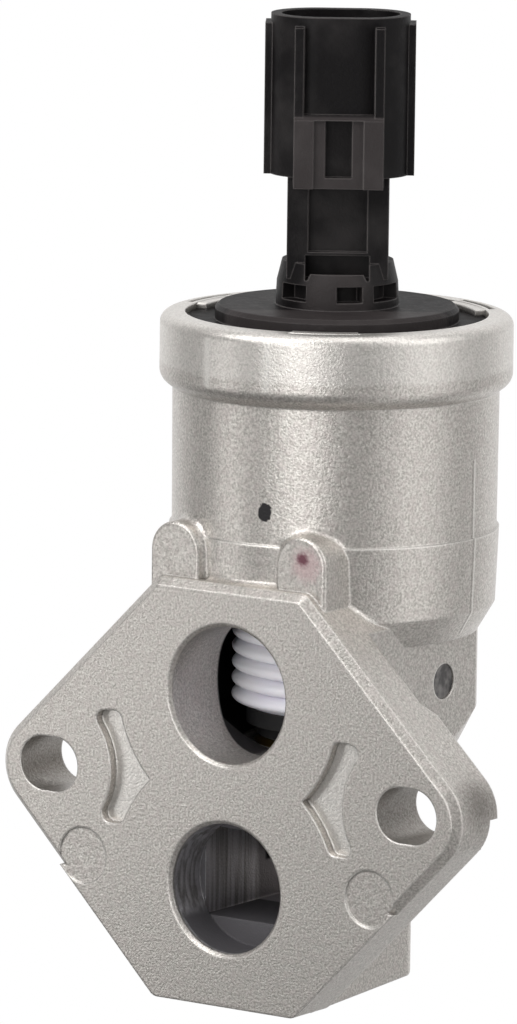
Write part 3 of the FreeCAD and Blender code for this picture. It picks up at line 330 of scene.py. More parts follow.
def make_spot():
    """A soft-edged spot round a point: 1 inside and 0 outside, with a ragged rim."""
    group, given, result = new_group(
        "spot", [("Vector", "Vector", None), ("Centre", "Vector", None), ("Radius", "Float", 0.001),
                 ("Feather", "Float", 0.0002)], [("Mask", "Float")])
    place, radius = given.outputs["Vector"], given.outputs["Radius"]
    away = add(group, "ShaderNodeVectorMath", {0: place, 1: given.outputs["Centre"]}, operation="DISTANCE")
    ragged = add(group, "ShaderNodeTexNoise", {"Vector": place, "Scale": RAG_SCALE, "Detail": 2.0})
    shift = math_node(group, "SUBTRACT", ragged.outputs[0], 0.5)
    wander = both(group, shift, both(group, radius, RAG_SHARE))
    reach = math_node(group, "ADD", away.outputs["Value"], wander)
    inner = math_node(group, "SUBTRACT", radius, given.outputs["Feather"])
    group.links.new(remap(group, reach, inner, radius, 1.0, 0.0), result.inputs["Mask"])
    return group


def make_lathe_marks():
    """Fine rings round the valve's axis and along it, as a lathe tool leaves them, from 0 to 1."""
    group, given, result = new_group(
        "lathe_marks", [("Vector", "Vector", None), ("Pitch", "Float", 0.0002)], [("Height", "Float")])
    across, depth, tall = split(group, given.outputs["Vector"])
    along = math_node(group, "ADD", line_distance(group, across, depth, AXIS_Y), tall)
    phase = math_node(group, "DIVIDE", along, given.outputs["Pitch"])
    line = add(group, "ShaderNodeCombineXYZ", {"X": phase})
    noise = add(group, "ShaderNodeTexNoise", {"Vector": line.outputs[0], "Scale": 1.0, "Detail": 2.0})
    group.links.new(noise.outputs[0], result.inputs["Height"])
    return group


STUDIO = make_studio()
GRAIN = make_grain()
EDGE_WEAR = make_edge_wear()
SPOT = make_spot()
LATHE_MARKS = make_lathe_marks()


# Camera, light and floor

def direction(azimuth, elevation):
    """The direction from the valve towards an azimuth, rightwards from -Y, and an elevation."""
    return Vector((math.sin(azimuth) * math.cos(elevation),
                   -math.cos(azimuth) * math.cos(elevation),
                   math.sin(elevation)))


def add_camera():
    """The camera that sees the valve as the photograph does."""
    back = direction(CAMERA_AZIMUTH, CAMERA_ELEVATION)
    level = Vector((math.cos(CAMERA_AZIMUTH), math.sin(CAMERA_AZIMUTH), 0.0))
    upright = back.cross(level)
    right = math.cos(CAMERA_ROLL) * level + math.sin(CAMERA_ROLL) * upright
    up = math.cos(CAMERA_ROLL) * upright - math.sin(CAMERA_ROLL) * level
    distance = FOCAL_PIXELS / PIXELS_PER_METRE
    aside = (ORIGIN_PIXEL[0] - PHOTO_CENTRE[0]) / PIXELS_PER_METRE
    above = (PHOTO_CENTRE[1] - ORIGIN_PIXEL[1]) / PIXELS_PER_METRE
    place = back * distance - right * aside - up * above
    camera = bpy.data.objects.new("camera", bpy.data.cameras.new("camera"))
    camera.data.sensor_width = SENSOR_WIDTH
    camera.data.lens = FOCAL_PIXELS / PHOTO_HEIGHT * SENSOR_WIDTH
    camera.data.clip_start = NEAREST_SEEN
    turn = Matrix((right, up, back)).transposed()
    camera.matrix_world = Matrix.Translation(place) @ turn.to_4x4()
    bpy.context.scene.collection.objects.link(camera)
    bpy.context.scene.camera = camera


def add_lamp(name, azimuth, elevation, distance, width, watts):
    """A square soft lamp that looks at the middle of the valve, from an azimuth and elevation in degrees."""
    middle = (cad_low + cad_high) / 2
    towards = direction(math.radians(azimuth), math.radians(elevation))
    lamp = bpy.data.objects.new(name, bpy.data.lights.new(name, "AREA"))
    lamp.data.size = width
    lamp.data.energy = watts
    lamp.location = middle + towards * distance
    lamp.rotation_mode = "QUATERNION"
    lamp.rotation_quaternion = towards.to_track_quat("Z", "Y")
    bpy.context.scene.collection.objects.link(lamp)


def studio_light(tree, vector, plain, painted_shadow=1.0):
    """White for the camera and clear materials, the studio for reflections, darker under a painted shadow
    where one is given, and a plain level elsewhere.
    """
    path = add(tree, "ShaderNodeLightPath")
    white = either(tree, path.outputs["Is Camera Ray"], path.outputs["Is Transmission Ray"])
    studio = place_group(tree, STUDIO, {"Vector": vector})
    shadowed_studio = both(tree, studio.outputs["Strength"], painted_shadow)
    mirrored = mix_values(tree, path.outputs["Is Glossy Ray"], plain, shadowed_studio)
    return mix_values(tree, white, mirrored, 1.0)


def add_world():
    """White to the camera, the studio in reflections, and a plain ambient level for the rest."""
    world = bpy.data.worlds.new("studio")
    bpy.context.scene.world = world
    world.use_nodes = True
    tree = world.node_tree
    tree.nodes.clear()
    outwards = add(tree, "ShaderNodeTexCoord").outputs["Generated"]
    strength = studio_light(tree, outwards, AMBIENT)
    light = add(tree, "ShaderNodeBackground", {"Color": (1, 1, 1, 1), "Strength": strength})
    add(tree, "ShaderNodeOutputWorld", {"Surface": light.outputs[0]})


def add_floor():
    """A wide pale floor below the valve, which is held by its flange: white to the camera, the studio with a
    painted shadow near the valve in reflections, lit elsewhere.
    """
    level = cad_low.z - FLOOR_DROP
    side = FLOOR_HALF_WIDTH
    corners = [(-side, -side, level), (side, -side, level), (side, side, level), (-side, side, level)]
    mesh = bpy.data.meshes.new("floor")
    mesh.from_pydata(corners, [], [(0, 1, 2, 3)])
    floor = bpy.data.objects.new("floor", mesh)
    bpy.context.scene.collection.objects.link(floor)
    material, tree, output = new_material("floor_paint")
    paint = add(tree, "ShaderNodeBsdfPrincipled", {"Base Color": (0.8, 0.8, 0.8, 1), "Roughness": 0.9})
    path = add(tree, "ShaderNodeLightPath")
    glossy = either(tree, path.outputs["Is Camera Ray"], path.outputs["Is Glossy Ray"])
    seen = either(tree, glossy, path.outputs["Is Transmission Ray"])
    place = object_place(tree)
    # Painted shadow: the floor's reflection dimmed near the valve
    away = add(tree, "ShaderNodeVectorMath", {0: place, 1: (*FLOOR_SHADOW_PLACE, level)}, operation="DISTANCE")
    painted_shadow = remap(tree, away.outputs["Value"], *FLOOR_SHADOW_REACH, *FLOOR_SHADOW_LEVELS)
    strength = studio_light(tree, place, 1.0, painted_shadow)
    glow = add(tree, "ShaderNodeEmission", {"Color": (1, 1, 1, 1), "Strength": strength})
    mixed = add(tree, "ShaderNodeMixShader", {0: seen, 1: paint.outputs[0], 2: glow.outputs[0]})
    tree.links.new(mixed.outputs[0], output.inputs["Surface"])
    mesh.materials.append(material)


# Colours

CAST_DARK = srgb(164, 160, 154)
CAST_BRIGHT = srgb(220, 216, 210)
CAST_PINK = srgb(198, 186, 184)
# Worn edges, and painted highlights on the rim band, the pocket floors and the parting line
CAST_WEAR_AND_HIGHLIGHT = srgb(238, 235, 230)
# Painted shade: corners, bolt slot walls, beside the parting line and round the wing's tip
CAST_PAINTED_SHADE = srgb(92, 86, 80)
CHANNEL_DARK = srgb(128, 126, 134)
CHANNEL_PALE = srgb(236, 235, 244)
# Painted shade: the lower channel's floor and far end, and the bowl
CHANNEL_FLOOR_SHADE = srgb(80, 78, 81)
CHANNEL_FAR_SHADE = srgb(150, 146, 150)
BOWL_PAINTED_SHADE = srgb(30, 27, 29)
MARK_PINK = srgb(204, 170, 173)
MARK_RED = srgb(96, 56, 66)
INK_BLACK = srgb(24, 22, 24)
PLUG_DARK = srgb(92, 90, 90)
PLUG_PALE = srgb(140, 137, 135)
PLASTIC_BLACK = srgb(15, 13, 14)
PLASTIC_LIGHTER = srgb(50, 46, 46)
PLASTIC_DUST = srgb(94, 90, 89)
BELLOWS_WHITE = srgb(246, 245, 250)
BELLOWS_SHADE = srgb(240, 238, 247)

# Where the casting's marks and its painted light and shade lie, in millimetres: radii from a bore's axis,
# heights along Z, depths along Y

RIM_HIGHLIGHT_HEIGHTS = (48.6, 57.5)
CORNER_REACH = 1.3
BOWL_RADII = (14.4, 14.8)
BOWL_HEIGHTS = (2.9, 23.0)
SEAT_RADII = (7.6, 7.9)
SEAT_HEIGHTS = (-12.2, 3.0)
POCKET_DEPTHS = (1.1, 1.3)
LOW_PORT_HEIGHT = -12
CHANNEL_RADII = (8.4, 8.8)
CHANNEL_DEPTHS = (0.7, 22.2)
FLOOR_RADII = (9.2, 9.6)
FLOOR_DEPTHS = (0.9, 22.2)
STEP_DEPTHS = (4.0, 8.2)
FAR_DEPTHS = (16.8, 17.4)
NECK_RADII = (17.5, 17.8)
NECK_HEIGHTS = (17.5, 38.5)
RIGHT_SIDE = (10.0, 10.2)
PARTING_DEPTHS = (22.65, 22.9)
BESIDE_DEPTHS = (22.2, 22.5)
SLOT_REACH = (20.5, 30.3)
SLOT_HEIGHTS = (-3.4, 3.4)

# Spots on the casting, in millimetres: centre, radius and soft border

SPOTS = {
    # The tip spot is painted shade on the round of the right wing's tip
    "tip": ((33.0, 5.0, 1.8), 5.5, 5.2),
    "halo": ((9.9, 1.8, 27.6), 2.7, 1.6),
    "paint": ((9.4, 1.8, 28.2), 1.15, 0.7),
    "upper_ink": ((3.32, 2.69, 33.3), 0.95, 0.2),
    "lower_ink": ((3.26, 2.72, 32.7), 0.9, 0.2),
}

# How far a face has to look along an axis for a mark to start and to end

POCKET_LOOK = (-0.98, -0.95)
STEP_LOOK = (-0.7, -0.4)
FLOOR_LOOK = (0.3, 0.6)
SLOT_LOOK = (0.6, 0.9)
CAP_TOP_LOOK = (0.5, 0.9)

# Streaks per metre along each axis, few along Z

STREAK_SCALE = (1400.0, 1400.0, 60.0)

# Where the cap is lighter, in millimetres: ahead of the axis on the latch's side, below the socket's panel

LATCH_DEPTHS = (5.4, 6.8)
PANEL_FOOT = (78.3, 78.6)
PLASTIC_SHINE = 0.13
PLASTIC_TOP_SHINE = 0.04


# Materials

def spot_mask(tree, place, name):
    """The mask of one of the casting's spots."""
    centre, radius, border = SPOTS[name]
    spot = place_group(tree, SPOT, {
        "Vector": place, "Centre": [value * MILLIMETRE for value in centre],
        "Radius": radius * MILLIMETRE, "Feather": border * MILLIMETRE})
    return spot.outputs["Mask"]


def sandy_skin(tree, grain, edge):
    """The blasted skin's colour: fine specks, faint pink blotches, bright edges and painted shade in the
    corners.
    """
    speck = remap(tree, grain.outputs["Fine"], 0.25, 0.75)
    colour = mix_colours(tree, speck, CAST_DARK, CAST_BRIGHT)
    blotch = remap(tree, grain.outputs["Coarse"], 0.4, 0.65)
    colour = lay(tree, colour, CAST_PINK, blotch, strength=0.3)
    colour = lay(tree, colour, CAST_WEAR_AND_HIGHLIGHT, edge)
    # Painted shade: darker wherever ambient occlusion finds a surface close by
    shelter = add(tree, "ShaderNodeAmbientOcclusion", {"Distance": CORNER_REACH * MILLIMETRE}, samples=4)
    corner_shade = remap(tree, shelter.outputs["AO"], 0.3, 0.7, 0.7, 0.0)
    return lay(tree, colour, CAST_PAINTED_SHADE, corner_shade)


def bowl_shade_mask(tree, tall, from_axis):
    """The inside of the chamber behind the upper port, and of the bowl under the valve's seat, which get
    painted shade.
    """
    chamber = both(tree, falling(tree, from_axis, BOWL_RADII), between(tree, tall, BOWL_HEIGHTS, 0.2))
    under_seat = both(tree, falling(tree, from_axis, SEAT_RADII), between(tree, tall, SEAT_HEIGHTS, 0.2))
    return either(tree, chamber, under_seat)


def streak_and_shade_channel(tree, colour, place, depth, face_y, face_z, from_port):
    """The lower channel's colours, and the mask of its faces with painted shade.

    The walls are streaked light and dark along Z; the step and the faces that look up get painted shade, and
    the far end is painted grey as shade.
    """
    channel = both(tree, falling(tree, from_port, CHANNEL_RADII), between(tree, depth, CHANNEL_DEPTHS, 0.3))
    upward = both(tree, remap(tree, face_z, *FLOOR_LOOK), between(tree, depth, FLOOR_DEPTHS, 0.3))
    step = both(tree, between(tree, depth, STEP_DEPTHS, 0.3), remap(tree, face_y, *STEP_LOOK, 1.0, 0.0))
    dark = both(tree, either(tree, upward, step), falling(tree, from_port, FLOOR_RADII))
    stretched = add(tree, "ShaderNodeMapping", {"Vector": place, "Scale": STREAK_SCALE})
    streaks = add(tree, "ShaderNodeTexNoise", {"Vector": stretched.outputs[0], "Scale": 1.0, "Detail": 3.0})
    stain = mix_colours(tree, remap(tree, streaks.outputs[0], 0.35, 0.65), CHANNEL_DARK, CHANNEL_PALE)
    colour = lay(tree, colour, stain, channel, strength=0.6)
    # Painted shade on the floor and the step
    colour = lay(tree, colour, CHANNEL_FLOOR_SHADE, dark)
    # Painted shade at the far end of the channel
    far = both(tree, channel, rising(tree, depth, FAR_DEPTHS))
    return lay(tree, colour, CHANNEL_FAR_SHADE, far), dark


def mark_parting(tree, colour, across, depth, tall, from_axis):
    """The die's parting line down the neck's right side, drawn as a painted highlight line with a painted
    shade line before it.
    """
    outer = both(tree, rising(tree, from_axis, NECK_RADII), between(tree, tall, NECK_HEIGHTS, 0.2))
    right = both(tree, outer, rising(tree, across, RIGHT_SIDE))
    parting = both(tree, right, between(tree, depth, PARTING_DEPTHS, 0.1))
    colour = lay(tree, colour, CAST_WEAR_AND_HIGHLIGHT, parting, strength=0.8)
    beside = both(tree, right, between(tree, depth, BESIDE_DEPTHS, 0.1))
    return lay(tree, colour, CAST_PAINTED_SHADE, beside, strength=0.35)


def shade_flange(tree, colour, place, across, tall, face_y):
    """Painted shade on the walls of both bolt slots and round the tip of the flange's right wing."""
    reach = between(tree, math_node(tree, "ABSOLUTE", across), SLOT_REACH, 0.1)
    in_slot = both(tree, reach, between(tree, tall, SLOT_HEIGHTS, 0.1))
    turned = math_node(tree, "ABSOLUTE", face_y)
    in_slot = both(tree, in_slot, remap(tree, turned, *SLOT_LOOK, 1.0, 0.0))
    colour = lay(tree, colour, CAST_PAINTED_SHADE, in_slot, strength=0.45)
    return lay(tree, colour, CAST_PAINTED_SHADE, spot_mask(tree, place, "tip"), strength=0.6)


def cast_aluminium():
    """Blasted die casting: warm light grey, sandy and sparkling, bright worn edges, painted shade in its
    corners.

    The bowl behind the upper port is painted near black as shade, the lower channel is streaked with painted
    shade on its floor, step and far end, painted highlights lie on the rim band, the pocket floors and the
    parting line, and the outside carries the ink dot and the red paint mark that the photograph shows.
    """
    material, tree, output = new_material("cast_aluminium")
    place = object_place(tree)
    across, depth, tall = split(tree, place)
    _, face_y, face_z = split(tree, face_normal(tree))
    from_axis = line_distance(tree, across, depth, AXIS_Y)
    from_port = line_distance(tree, across, tall, LOW_PORT_HEIGHT * MILLIMETRE)
    grain = place_group(tree, GRAIN, {"Vector": place, "Size": 0.00028})
    wear = place_group(tree, EDGE_WEAR, {"Radius": 0.0004, "Gain": 6.0})
    edge = both(tree, wear.outputs["Edge"], 0.7)

    colour = sandy_skin(tree, grain, edge)
    # Painted highlight: the rim band lighter
    colour = lay(tree, colour, CAST_WEAR_AND_HIGHLIGHT, between(tree, tall, RIM_HIGHLIGHT_HEIGHTS, 0.4), strength=0.3)
    # Painted light: the pocket floors lighter, as lit from above
    pocket_floor_light = both(tree, between(tree, depth, POCKET_DEPTHS, 0.1),
                        remap(tree, face_y, *POCKET_LOOK, 1.0, 0.0))
    colour = lay(tree, colour, CAST_WEAR_AND_HIGHLIGHT, pocket_floor_light, strength=0.5)
    colour, dark = streak_and_shade_channel(tree, colour, place, depth, face_y, face_z, from_port)
    # Painted shade: the chamber and the bore under the seat painted near black
    bowl = bowl_shade_mask(tree, tall, from_axis)
    colour = lay(tree, colour, BOWL_PAINTED_SHADE, bowl)
    colour = mark_parting(tree, colour, across, depth, tall, from_axis)
    colour = shade_flange(tree, colour, place, across, tall, face_y)
    colour = lay(tree, colour, MARK_PINK, spot_mask(tree, place, "halo"), strength=0.5)
    paint = spot_mask(tree, place, "paint")
    colour = lay(tree, colour, MARK_RED, paint)
    ink = either(tree, spot_mask(tree, place, "upper_ink"), spot_mask(tree, place, "lower_ink"))
    colour = lay(tree, colour, INK_BLACK, ink)

    # The faces with painted shade, and the ink and paint marks, are matt and less metallic
    shade_and_marks = either(tree, either(tree, either(tree, dark, bowl), ink), paint)
    rough = mix_values(tree, grain.outputs["Coarse"], 0.3, 0.44)
    rough = mix_values(tree, edge, rough, 0.3)
    rough = mix_values(tree, shade_and_marks, rough, 0.7)
    inputs = {"Base Color": colour, "Metallic": mix_values(tree, shade_and_marks, 0.8, 0.1), "Roughness": rough}
    height = mix_values(tree, 0.4, grain.outputs["Fine"], grain.outputs["Coarse"])
    finish_skin(tree, output, inputs, (height, 0.6, 0.00012), wear.outputs["Normal"])
    return material


def plug_steel():
    """The dull, blotched end of the pressed-in plug."""
    material, tree, output = new_material("plug_steel")
    grain = place_group(tree, GRAIN, {"Vector": object_place(tree), "Size": 0.0005})
    blotch = remap(tree, grain.outputs["Coarse"], 0.35, 0.65)
    colour = mix_colours(tree, blotch, PLUG_DARK, PLUG_PALE)
    inputs = {"Base Color": colour, "Metallic": 0.8, "Roughness": 0.5}
    finish_skin(tree, output, inputs, (grain.outputs["Coarse"], 0.6, 0.00008))
    return material


def lighten_cap(tree, place, fine, colour, lighter):
    """The cap's colour, lighter towards the latch and specked with dust on top, and the mask of its top."""
    across, depth, tall = split(tree, place)
    _, _, face_z = split(tree, face_normal(tree))
    before = math_node(tree, "SUBTRACT", AXIS_Y, depth)
    aside = both(tree, across, math.sin(PLUG_TURN))
    forward = math_node(tree, "MULTIPLY_ADD", before, math.cos(PLUG_TURN), aside)
    upward = remap(tree, face_z, *CAP_TOP_LOOK)
    speck = both(tree, upward, remap(tree, fine, 0.55, 0.7))
    ahead = both(tree, rising(tree, forward, LATCH_DEPTHS), falling(tree, tall, PANEL_FOOT))
    return lay(tree, colour, lighter, either(tree, ahead, speck)), upward


def moulded(name, colour, dust, rough, grain_size, relief, lighter=None):
    """Moulded plastic or rubber: a fine leathery grain, dust in patches, paler worn edges.

    A colour given as lighter lies on the faces that stand out towards the plug's latch, and as dust specks on
    the faces that look up, which shine less.
    """
    material, tree, output = new_material(name)
    place = object_place(tree)
    grain = place_group(tree, GRAIN, {"Vector": place, "Size": grain_size})
    wear = place_group(tree, EDGE_WEAR, {"Radius": 0.00025, "Gain": 5.0})
    share = both(tree, remap(tree, grain.outputs["Mottle"], 0.45, 0.7), 0.15)
    share = math_node(tree, "MULTIPLY_ADD", wear.outputs["Edge"], 0.8, share)
    shine = PLASTIC_SHINE
    if lighter:
        colour, upward = lighten_cap(tree, place, grain.outputs["Fine"], colour, lighter)
        shine = mix_values(tree, upward, PLASTIC_SHINE, PLASTIC_TOP_SHINE)
    tint = mix_colours(tree, share, colour, dust)
    gloss = mix_values(tree, grain.outputs["Coarse"], rough - 0.06, rough + 0.1)
    inputs = {"Base Color": tint, "Roughness": gloss, "Specular IOR Level": shine}
    finish_skin(tree, output, inputs, (grain.outputs["Fine"], 0.5, relief), wear.outputs["Normal"])
    return material


def bellows_rubber():
    """White elastomer with a satin skin, a little darker in patches."""
    material, tree, output = new_material("bellows_rubber")
    grain = place_group(tree, GRAIN, {"Vector": object_place(tree), "Size": 0.0004})
    patches = remap(tree, grain.outputs["Mottle"], 0.35, 0.7)
    inputs = {"Base Color": mix_colours(tree, patches, BELLOWS_WHITE, BELLOWS_SHADE), "Roughness": 0.5,
              "Subsurface Weight": 0.15, "Subsurface Radius": (0.0006, 0.0005, 0.0005)}
    finish_skin(tree, output, inputs, (grain.outputs["Fine"], 0.3, 0.00002))
    return material


def turned_metal(name, colour, stain, rough, pitch):
    """Turned bar or drawn wire: tool rings, faint staining and a metal's colour."""
    material, tree, output = new_material(name)
    place = object_place(tree)
    grain = place_group(tree, GRAIN, {"Vector": place, "Size": 0.0004})
    rings = place_group(tree, LATHE_MARKS, {"Vector": place, "Pitch": pitch}).outputs["Height"]
    tint = mix_colours(tree, remap(tree, grain.outputs["Mottle"], 0.4, 0.7), colour, stain)
    gloss = mix_values(tree, rings, rough - 0.08, rough + 0.12)
    inputs = {"Base Color": tint, "Metallic": 1.0, "Roughness": gloss}
    finish_skin(tree, output, inputs, (rings, 0.5, 0.00001))
    return material


FINISHES = {
    "cast_housing": cast_aluminium(),
    "side_plug": plug_steel(),
    "valve_rubber": moulded("valve_rubber", srgb(38, 38, 39), srgb(70, 68, 66), 0.6, 0.0003, 0.00002),
    "bellows": bellows_rubber(),
    "brass": turned_metal("brass", srgb(205, 178, 112), srgb(168, 138, 84), 0.32, 0.00018),
    "steel": turned_metal("steel", srgb(178, 178, 180), srgb(146, 145, 145), 0.34, 0.0002),
    "spring_steel": turned_metal("spring_steel", srgb(150, 150, 154), srgb(118, 116, 116), 0.3, 0.0006),
    "copper_winding": turned_metal("copper_winding", srgb(190, 104, 62), srgb(150, 74, 44), 0.3, 0.0005),
    "bobbin_plastic": moulded("bobbin_plastic", srgb(96, 92, 84), srgb(120, 114, 104), 0.45, 0.0004,
                              0.00002),
    "cap_plastic": moulded("cap_plastic", PLASTIC_BLACK, PLASTIC_DUST, 0.46, 0.0004, 0.00009,
                           PLASTIC_LIGHTER),
    "blade_metal": turned_metal("blade_metal", srgb(208, 204, 196), srgb(180, 174, 162), 0.28, 0.0002),
}

# The model's own nodes: soft shading and finish

JOIN_REACH = 0.000002
SHARP_TURN = math.radians(24)
FLAT_WEIGHT = 100


def soften(piece):
    """Smooth a piece's round faces, while its edges stay sharp."""
    piece.data.polygons.foreach_set("use_smooth", np.ones(len(piece.data.polygons), bool))
    weld = piece.modifiers.new("join_facets", "WELD")
    weld.merge_threshold = JOIN_REACH
    split_edges = piece.modifiers.new("keep_edges", "EDGE_SPLIT")
    split_edges.split_angle = SHARP_TURN
    split_edges.use_edge_sharp = False
    weigh = piece.modifiers.new("flat_faces_first", "WEIGHTED_NORMAL")
    weigh.mode = "FACE_AREA"
    weigh.weight = FLAT_WEIGHT


def dress_nodes():
    """Give every node its finish and soft shading."""
    slot_of = {row["node"]: row["material_slot"] for row in frame["record"]["subparts"]}
    for name, node in frame["nodes"].items():
        material = FINISHES[slot_of[name]]
        if not node.material_slots:
            node.data.materials.append(material)
        for slot in node.material_slots:
            slot.material = material
        soften(node)


# Surfaces on grids

def grid_faces(rows, columns, wrap_rows, wrap_columns):
    """Four-sided faces of a grid of points, numbered row by row."""
    row = np.arange(rows if wrap_rows else rows - 1)[:, None]
    column = np.arange(columns if wrap_columns else columns - 1)[None, :]
    next_row, next_column = (row + 1) % rows, (column + 1) % columns
    corners = (row * columns + column, row * columns + next_column,
               next_row * columns + next_column, next_row * columns + column)
    grid = (row.size, column.size)
    return np.stack([np.broadcast_to(corner, grid) for corner in corners], -1).reshape(-1, 4)


def surface(name, points, wrap_rows=False, wrap_columns=False):
    """A smooth mesh object from an array of points: rows, columns and three coordinates."""
    rows, columns = points.shape[:2]
    faces = grid_faces(rows, columns, wrap_rows, wrap_columns)
    mesh = bpy.data.meshes.new(name)
    mesh.vertices.add(rows * columns)
    mesh.vertices.foreach_set("co", points.astype(np.float32).ravel())
    mesh.loops.add(faces.size)
    mesh.loops.foreach_set("vertex_index", faces.astype(np.int32).ravel())
    mesh.polygons.add(len(faces))
    mesh.polygons.foreach_set("loop_start", np.arange(0, faces.size, 4, dtype=np.int32))
    mesh.polygons.foreach_set("use_smooth", np.ones(len(faces), bool))
    mesh.update(calc_edges=True)
    mesh.validate()
    piece = bpy.data.objects.new(name, mesh)
    bpy.context.scene.collection.objects.link(piece)
    return piece


def close(piece, ends=0):
    """Close a piece with flat ends of so many points, where it has ends, and turn its faces outwards."""
    shape = bmesh.new()
    shape.from_mesh(piece.data)
    points = list(shape.verts)
    if ends:
        shape.faces.new(points[:ends])
        shape.faces.new(points[-ends:])
    bmesh.ops.recalc_face_normals(shape, faces=shape.faces)
    shape.to_mesh(piece.data)
    shape.free()
    return piece


def revolve(name, radii, heights, segments):
    """A closed outline carried round the valve's axis: (radius cos a, radius sin a, height) by angle."""
    angle = np.linspace(0, 2 * np.pi, segments, endpoint=False)[:, None]
    x = radii[None, :] * np.cos(angle)
    y = radii[None, :] * np.sin(angle) + AXIS_Y
    z = np.broadcast_to(heights[None, :], x.shape)
    return close(surface(name, np.stack([x, y, z], -1), wrap_rows=True, wrap_columns=True))


def solid(name, sections):
    """A closed solid through equal outlines: sections, points and three coordinates, with flat ends."""
    return close(surface(name, sections, wrap_columns=True), ends=sections.shape[1])


def finish_piece(piece, slot, replaced):
    """Give a new piece its finish, and hide the node that it stands for."""
    piece.data.materials.append(FINISHES[slot])
    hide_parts(replaced)


def shorten(piece):
    """Hold a piece in the housing, and give it a mesh of its own."""
    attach(piece, "housing")
    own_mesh(piece)


# Right wing of the flange

WING_INNER = 15.4 * MILLIMETRE
WING_HIGH = 16.9 * MILLIMETRE
WING_FOOT = -0.59 * MILLIMETRE
WING_FRONT = 1.3 * MILLIMETRE
WING_BACK = 6.705 * MILLIMETRE
PAD_BACK = 8.205 * MILLIMETRE
PAD_INNER = 15.8 * MILLIMETRE
PAD_HIGH = 12.0 * MILLIMETRE
PAD_BEVEL = 1.4 * MILLIMETRE
ROUND_SLOT = [(30.3, -0.59), (30.3, 1.0), (28.4, 3.34), (24.3, 3.34), (22.9, 2.9)]
FLANGE_SHOULDER = Vector((10.5, 24.3)) * MILLIMETRE
FLANGE_TIP = Vector((35.5, -0.4)) * MILLIMETRE
TIP_ROUND = 6.0 * MILLIMETRE
TIP_STEPS = 14
PROUD = 0.005 * MILLIMETRE


def wing_edge(height):
    """Half width of the flange at a height: its slanted edge, and lower down the round of its tip."""
    slope = (FLANGE_TIP.x - FLANGE_SHOULDER.x) / (FLANGE_SHOULDER.y - FLANGE_TIP.y)
    slanted = FLANGE_SHOULDER.x + slope * (FLANGE_SHOULDER.y - height)
    centre = FLANGE_TIP.x - TIP_ROUND * math.sqrt(2)
    rise = height - FLANGE_TIP.y
    if rise > TIP_ROUND / math.sqrt(2):
        return slanted + PROUD
    return centre + math.sqrt(TIP_ROUND ** 2 - rise ** 2) + PROUD


def wing_outline(inner, high, depth):
    """Outline of the wing at one depth: up its inner side, down the slanted edge, back round the slot."""
    slot = [(x * MILLIMETRE, depth, z * MILLIMETRE) for x, z in ROUND_SLOT]
    round_start = FLANGE_TIP.y + TIP_ROUND / math.sqrt(2)
    heights = np.concatenate([[high], np.linspace(round_start, WING_FOOT, TIP_STEPS)])
    edge = [(wing_edge(height), depth, height) for height in heights]
    return [(inner, depth, slot[-1][2]), (inner, depth, high)] + edge + slot


def whole_housing():
    """The casting with its right wing as thick as the left one.

    A merged copy of the node is joined with a plate that fills the wing from behind: equal outlines at four
    depths, the last drawn in at the top for the bolt pad's bevel.
    """
    sections = np.array([
        wing_outline(WING_INNER, WING_HIGH, WING_FRONT),
        wing_outline(WING_INNER, WING_HIGH, WING_BACK),
        wing_outline(PAD_INNER, PAD_HIGH, WING_BACK),
        wing_outline(PAD_INNER, PAD_HIGH - PAD_BEVEL, PAD_BACK),
    ])
    plate = solid("wing_plate", sections)
    shape = bmesh.new()
    shape.from_mesh(frame["nodes"]["valve_body"].data)
    bmesh.ops.remove_doubles(shape, verts=shape.verts, dist=JOIN_REACH)
    mesh = bpy.data.meshes.new("whole_housing")
    shape.to_mesh(mesh)
    shape.free()
    piece = bpy.data.objects.new("whole_housing", mesh)
    bpy.context.scene.collection.objects.link(piece)
    join = piece.modifiers.new("wing", "BOOLEAN")
    join.operation = "UNION"
    join.solver = "EXACT"
    join.object = plate
    seen = bpy.context.evaluated_depsgraph_get()
    piece.data = bpy.data.meshes.new_from_object(piece.evaluated_get(seen))
    piece.modifiers.clear()
    bpy.data.objects.remove(plate)
    piece.data.materials.clear()
    finish_piece(piece, "cast_housing", "valve_body")
    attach(piece, "housing")
    soften(piece)


# Bellows

BELLOWS_FOLDS = 7
BELLOWS_ROOT = 0.0098
BELLOWS_CREST = 0.012
BELLOWS_WALL = 0.0004
BELLOWS_EYE = 0.003
LOBE_POWER = 0.32
STEPS_PER_FOLD = 24
FLANGE_STEPS = 5
BELLOWS_SEGMENTS = 144


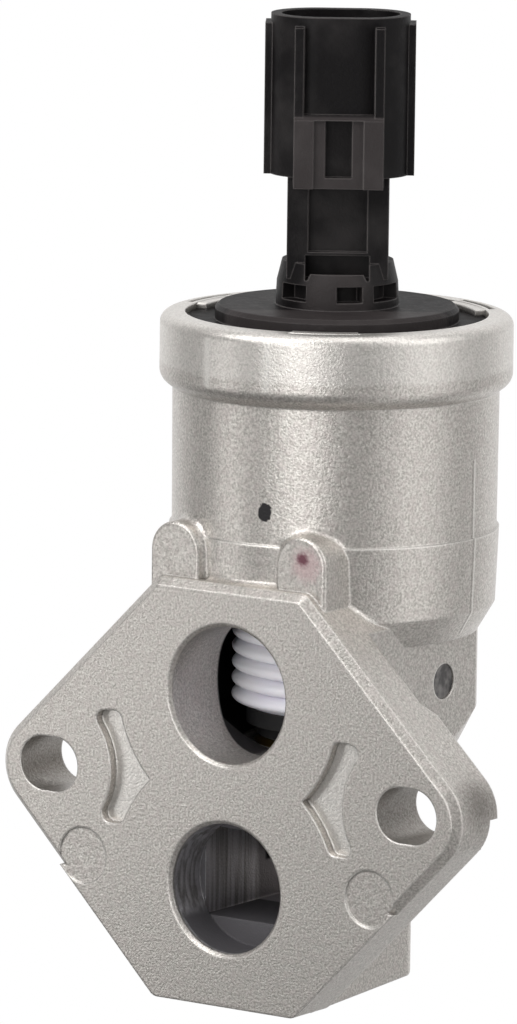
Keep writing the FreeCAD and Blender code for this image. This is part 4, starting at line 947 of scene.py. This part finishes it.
def bellows_folds():
    """The convoluted tube: radius = root + (crest - root) * |sin(pi * folds * t)| ** power, t up its height.

    The low power makes round, full lobes with thin grooves between them. The foot turns in to the plunger's
    shaft and the top turns out into the clamped flange, and the inner wall is one wall's thickness within.
    """
    rim = BELLOWS_HIGH.x
    top, bottom = BELLOWS_HIGH.z, BELLOWS_LOW.z
    share = np.linspace(0, 1, BELLOWS_FOLDS * STEPS_PER_FOLD + 1)
    lobes = np.abs(np.sin(np.pi * BELLOWS_FOLDS * share)) ** LOBE_POWER
    wave = BELLOWS_ROOT + (BELLOWS_CREST - BELLOWS_ROOT) * lobes
    height = bottom + BELLOWS_WALL + (top - BELLOWS_WALL - bottom - BELLOWS_WALL) * share
    flange_radii = np.linspace(BELLOWS_ROOT, rim, FLANGE_STEPS + 1)[1:]
    flange_heights = np.full(FLANGE_STEPS, top - BELLOWS_WALL)
    radii = np.concatenate([
        [BELLOWS_EYE, BELLOWS_ROOT], wave, flange_radii, [rim],
        [BELLOWS_ROOT - BELLOWS_WALL], wave[::-1] - BELLOWS_WALL, [BELLOWS_EYE]])
    heights = np.concatenate([
        [bottom, bottom], height, flange_heights, [top],
        [top], height[::-1], [bottom + BELLOWS_WALL]])
    piece = revolve("bellows_folds", radii, heights, BELLOWS_SEGMENTS)
    finish_piece(piece, "bellows", "bellows")
    shorten(piece)


# Springs

SPRING_WIRES = {"return_spring": 0.0002, "balance_spring": 0.00025}
SPRING_TURNS = 4
STEPS_PER_TURN = 48
WIRE_SIDES = 14
DEAD_TURNS = 0.5
DEAD_CLIMB = 0.1
END_SHARE = 0.01
END_THICKNESS = 0.02


def helix_wire(name, radius, wire, turns, bottom, top):
    """A round wire along a helix: (R cos a, R sin a, z) by angle, swept by a circle of the wire's radius.

    z climbs evenly, but for a nearly level half turn at each end, and the wire's ends are rounded off.
    """
    share = np.linspace(0, 1, turns * STEPS_PER_TURN + 1)
    angle = 2 * np.pi * turns * share
    live = np.clip((share * turns - DEAD_TURNS) / (turns - 2 * DEAD_TURNS), 0, 1)
    climb = share * DEAD_CLIMB + live * (1 - DEAD_CLIMB)
    height = bottom + wire + (top - bottom - 2 * wire) * climb
    around = np.linspace(0, 2 * np.pi, WIRE_SIDES, endpoint=False)
    past = np.maximum(0, np.abs(share - 0.5) * 2 - 1 + END_SHARE)
    thickness = wire * np.sqrt(np.clip(1 - past ** 2 / END_SHARE ** 2, 0, 1))
    thickness = np.maximum(thickness, wire * END_THICKNESS)
    out = radius + thickness[:, None] * np.cos(around)
    x = out * np.cos(angle)[:, None]
    y = out * np.sin(angle)[:, None] + AXIS_Y
    z = height[:, None] + thickness[:, None] * np.sin(around)
    return solid(name, np.stack([x, y, z], -1))


def springs():
    """The return spring in the core and the light balance spring under the armature."""
    for node, wire in SPRING_WIRES.items():
        low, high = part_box(node)
        piece = helix_wire(f"{node}_wire", high.x - wire, wire, SPRING_TURNS, low.z, high.z)
        finish_piece(piece, "spring_steel", node)
        if node == "return_spring":
            shorten(piece)
        else:
            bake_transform(piece)


# Assembly of the scene

bpy.context.scene.view_settings.view_transform = "Standard"
add_camera()
add_world()
for lamp_row in LAMPS:
    add_lamp(*lamp_row)
add_floor()
dress_nodes()
whole_housing()
bellows_folds()
springs()
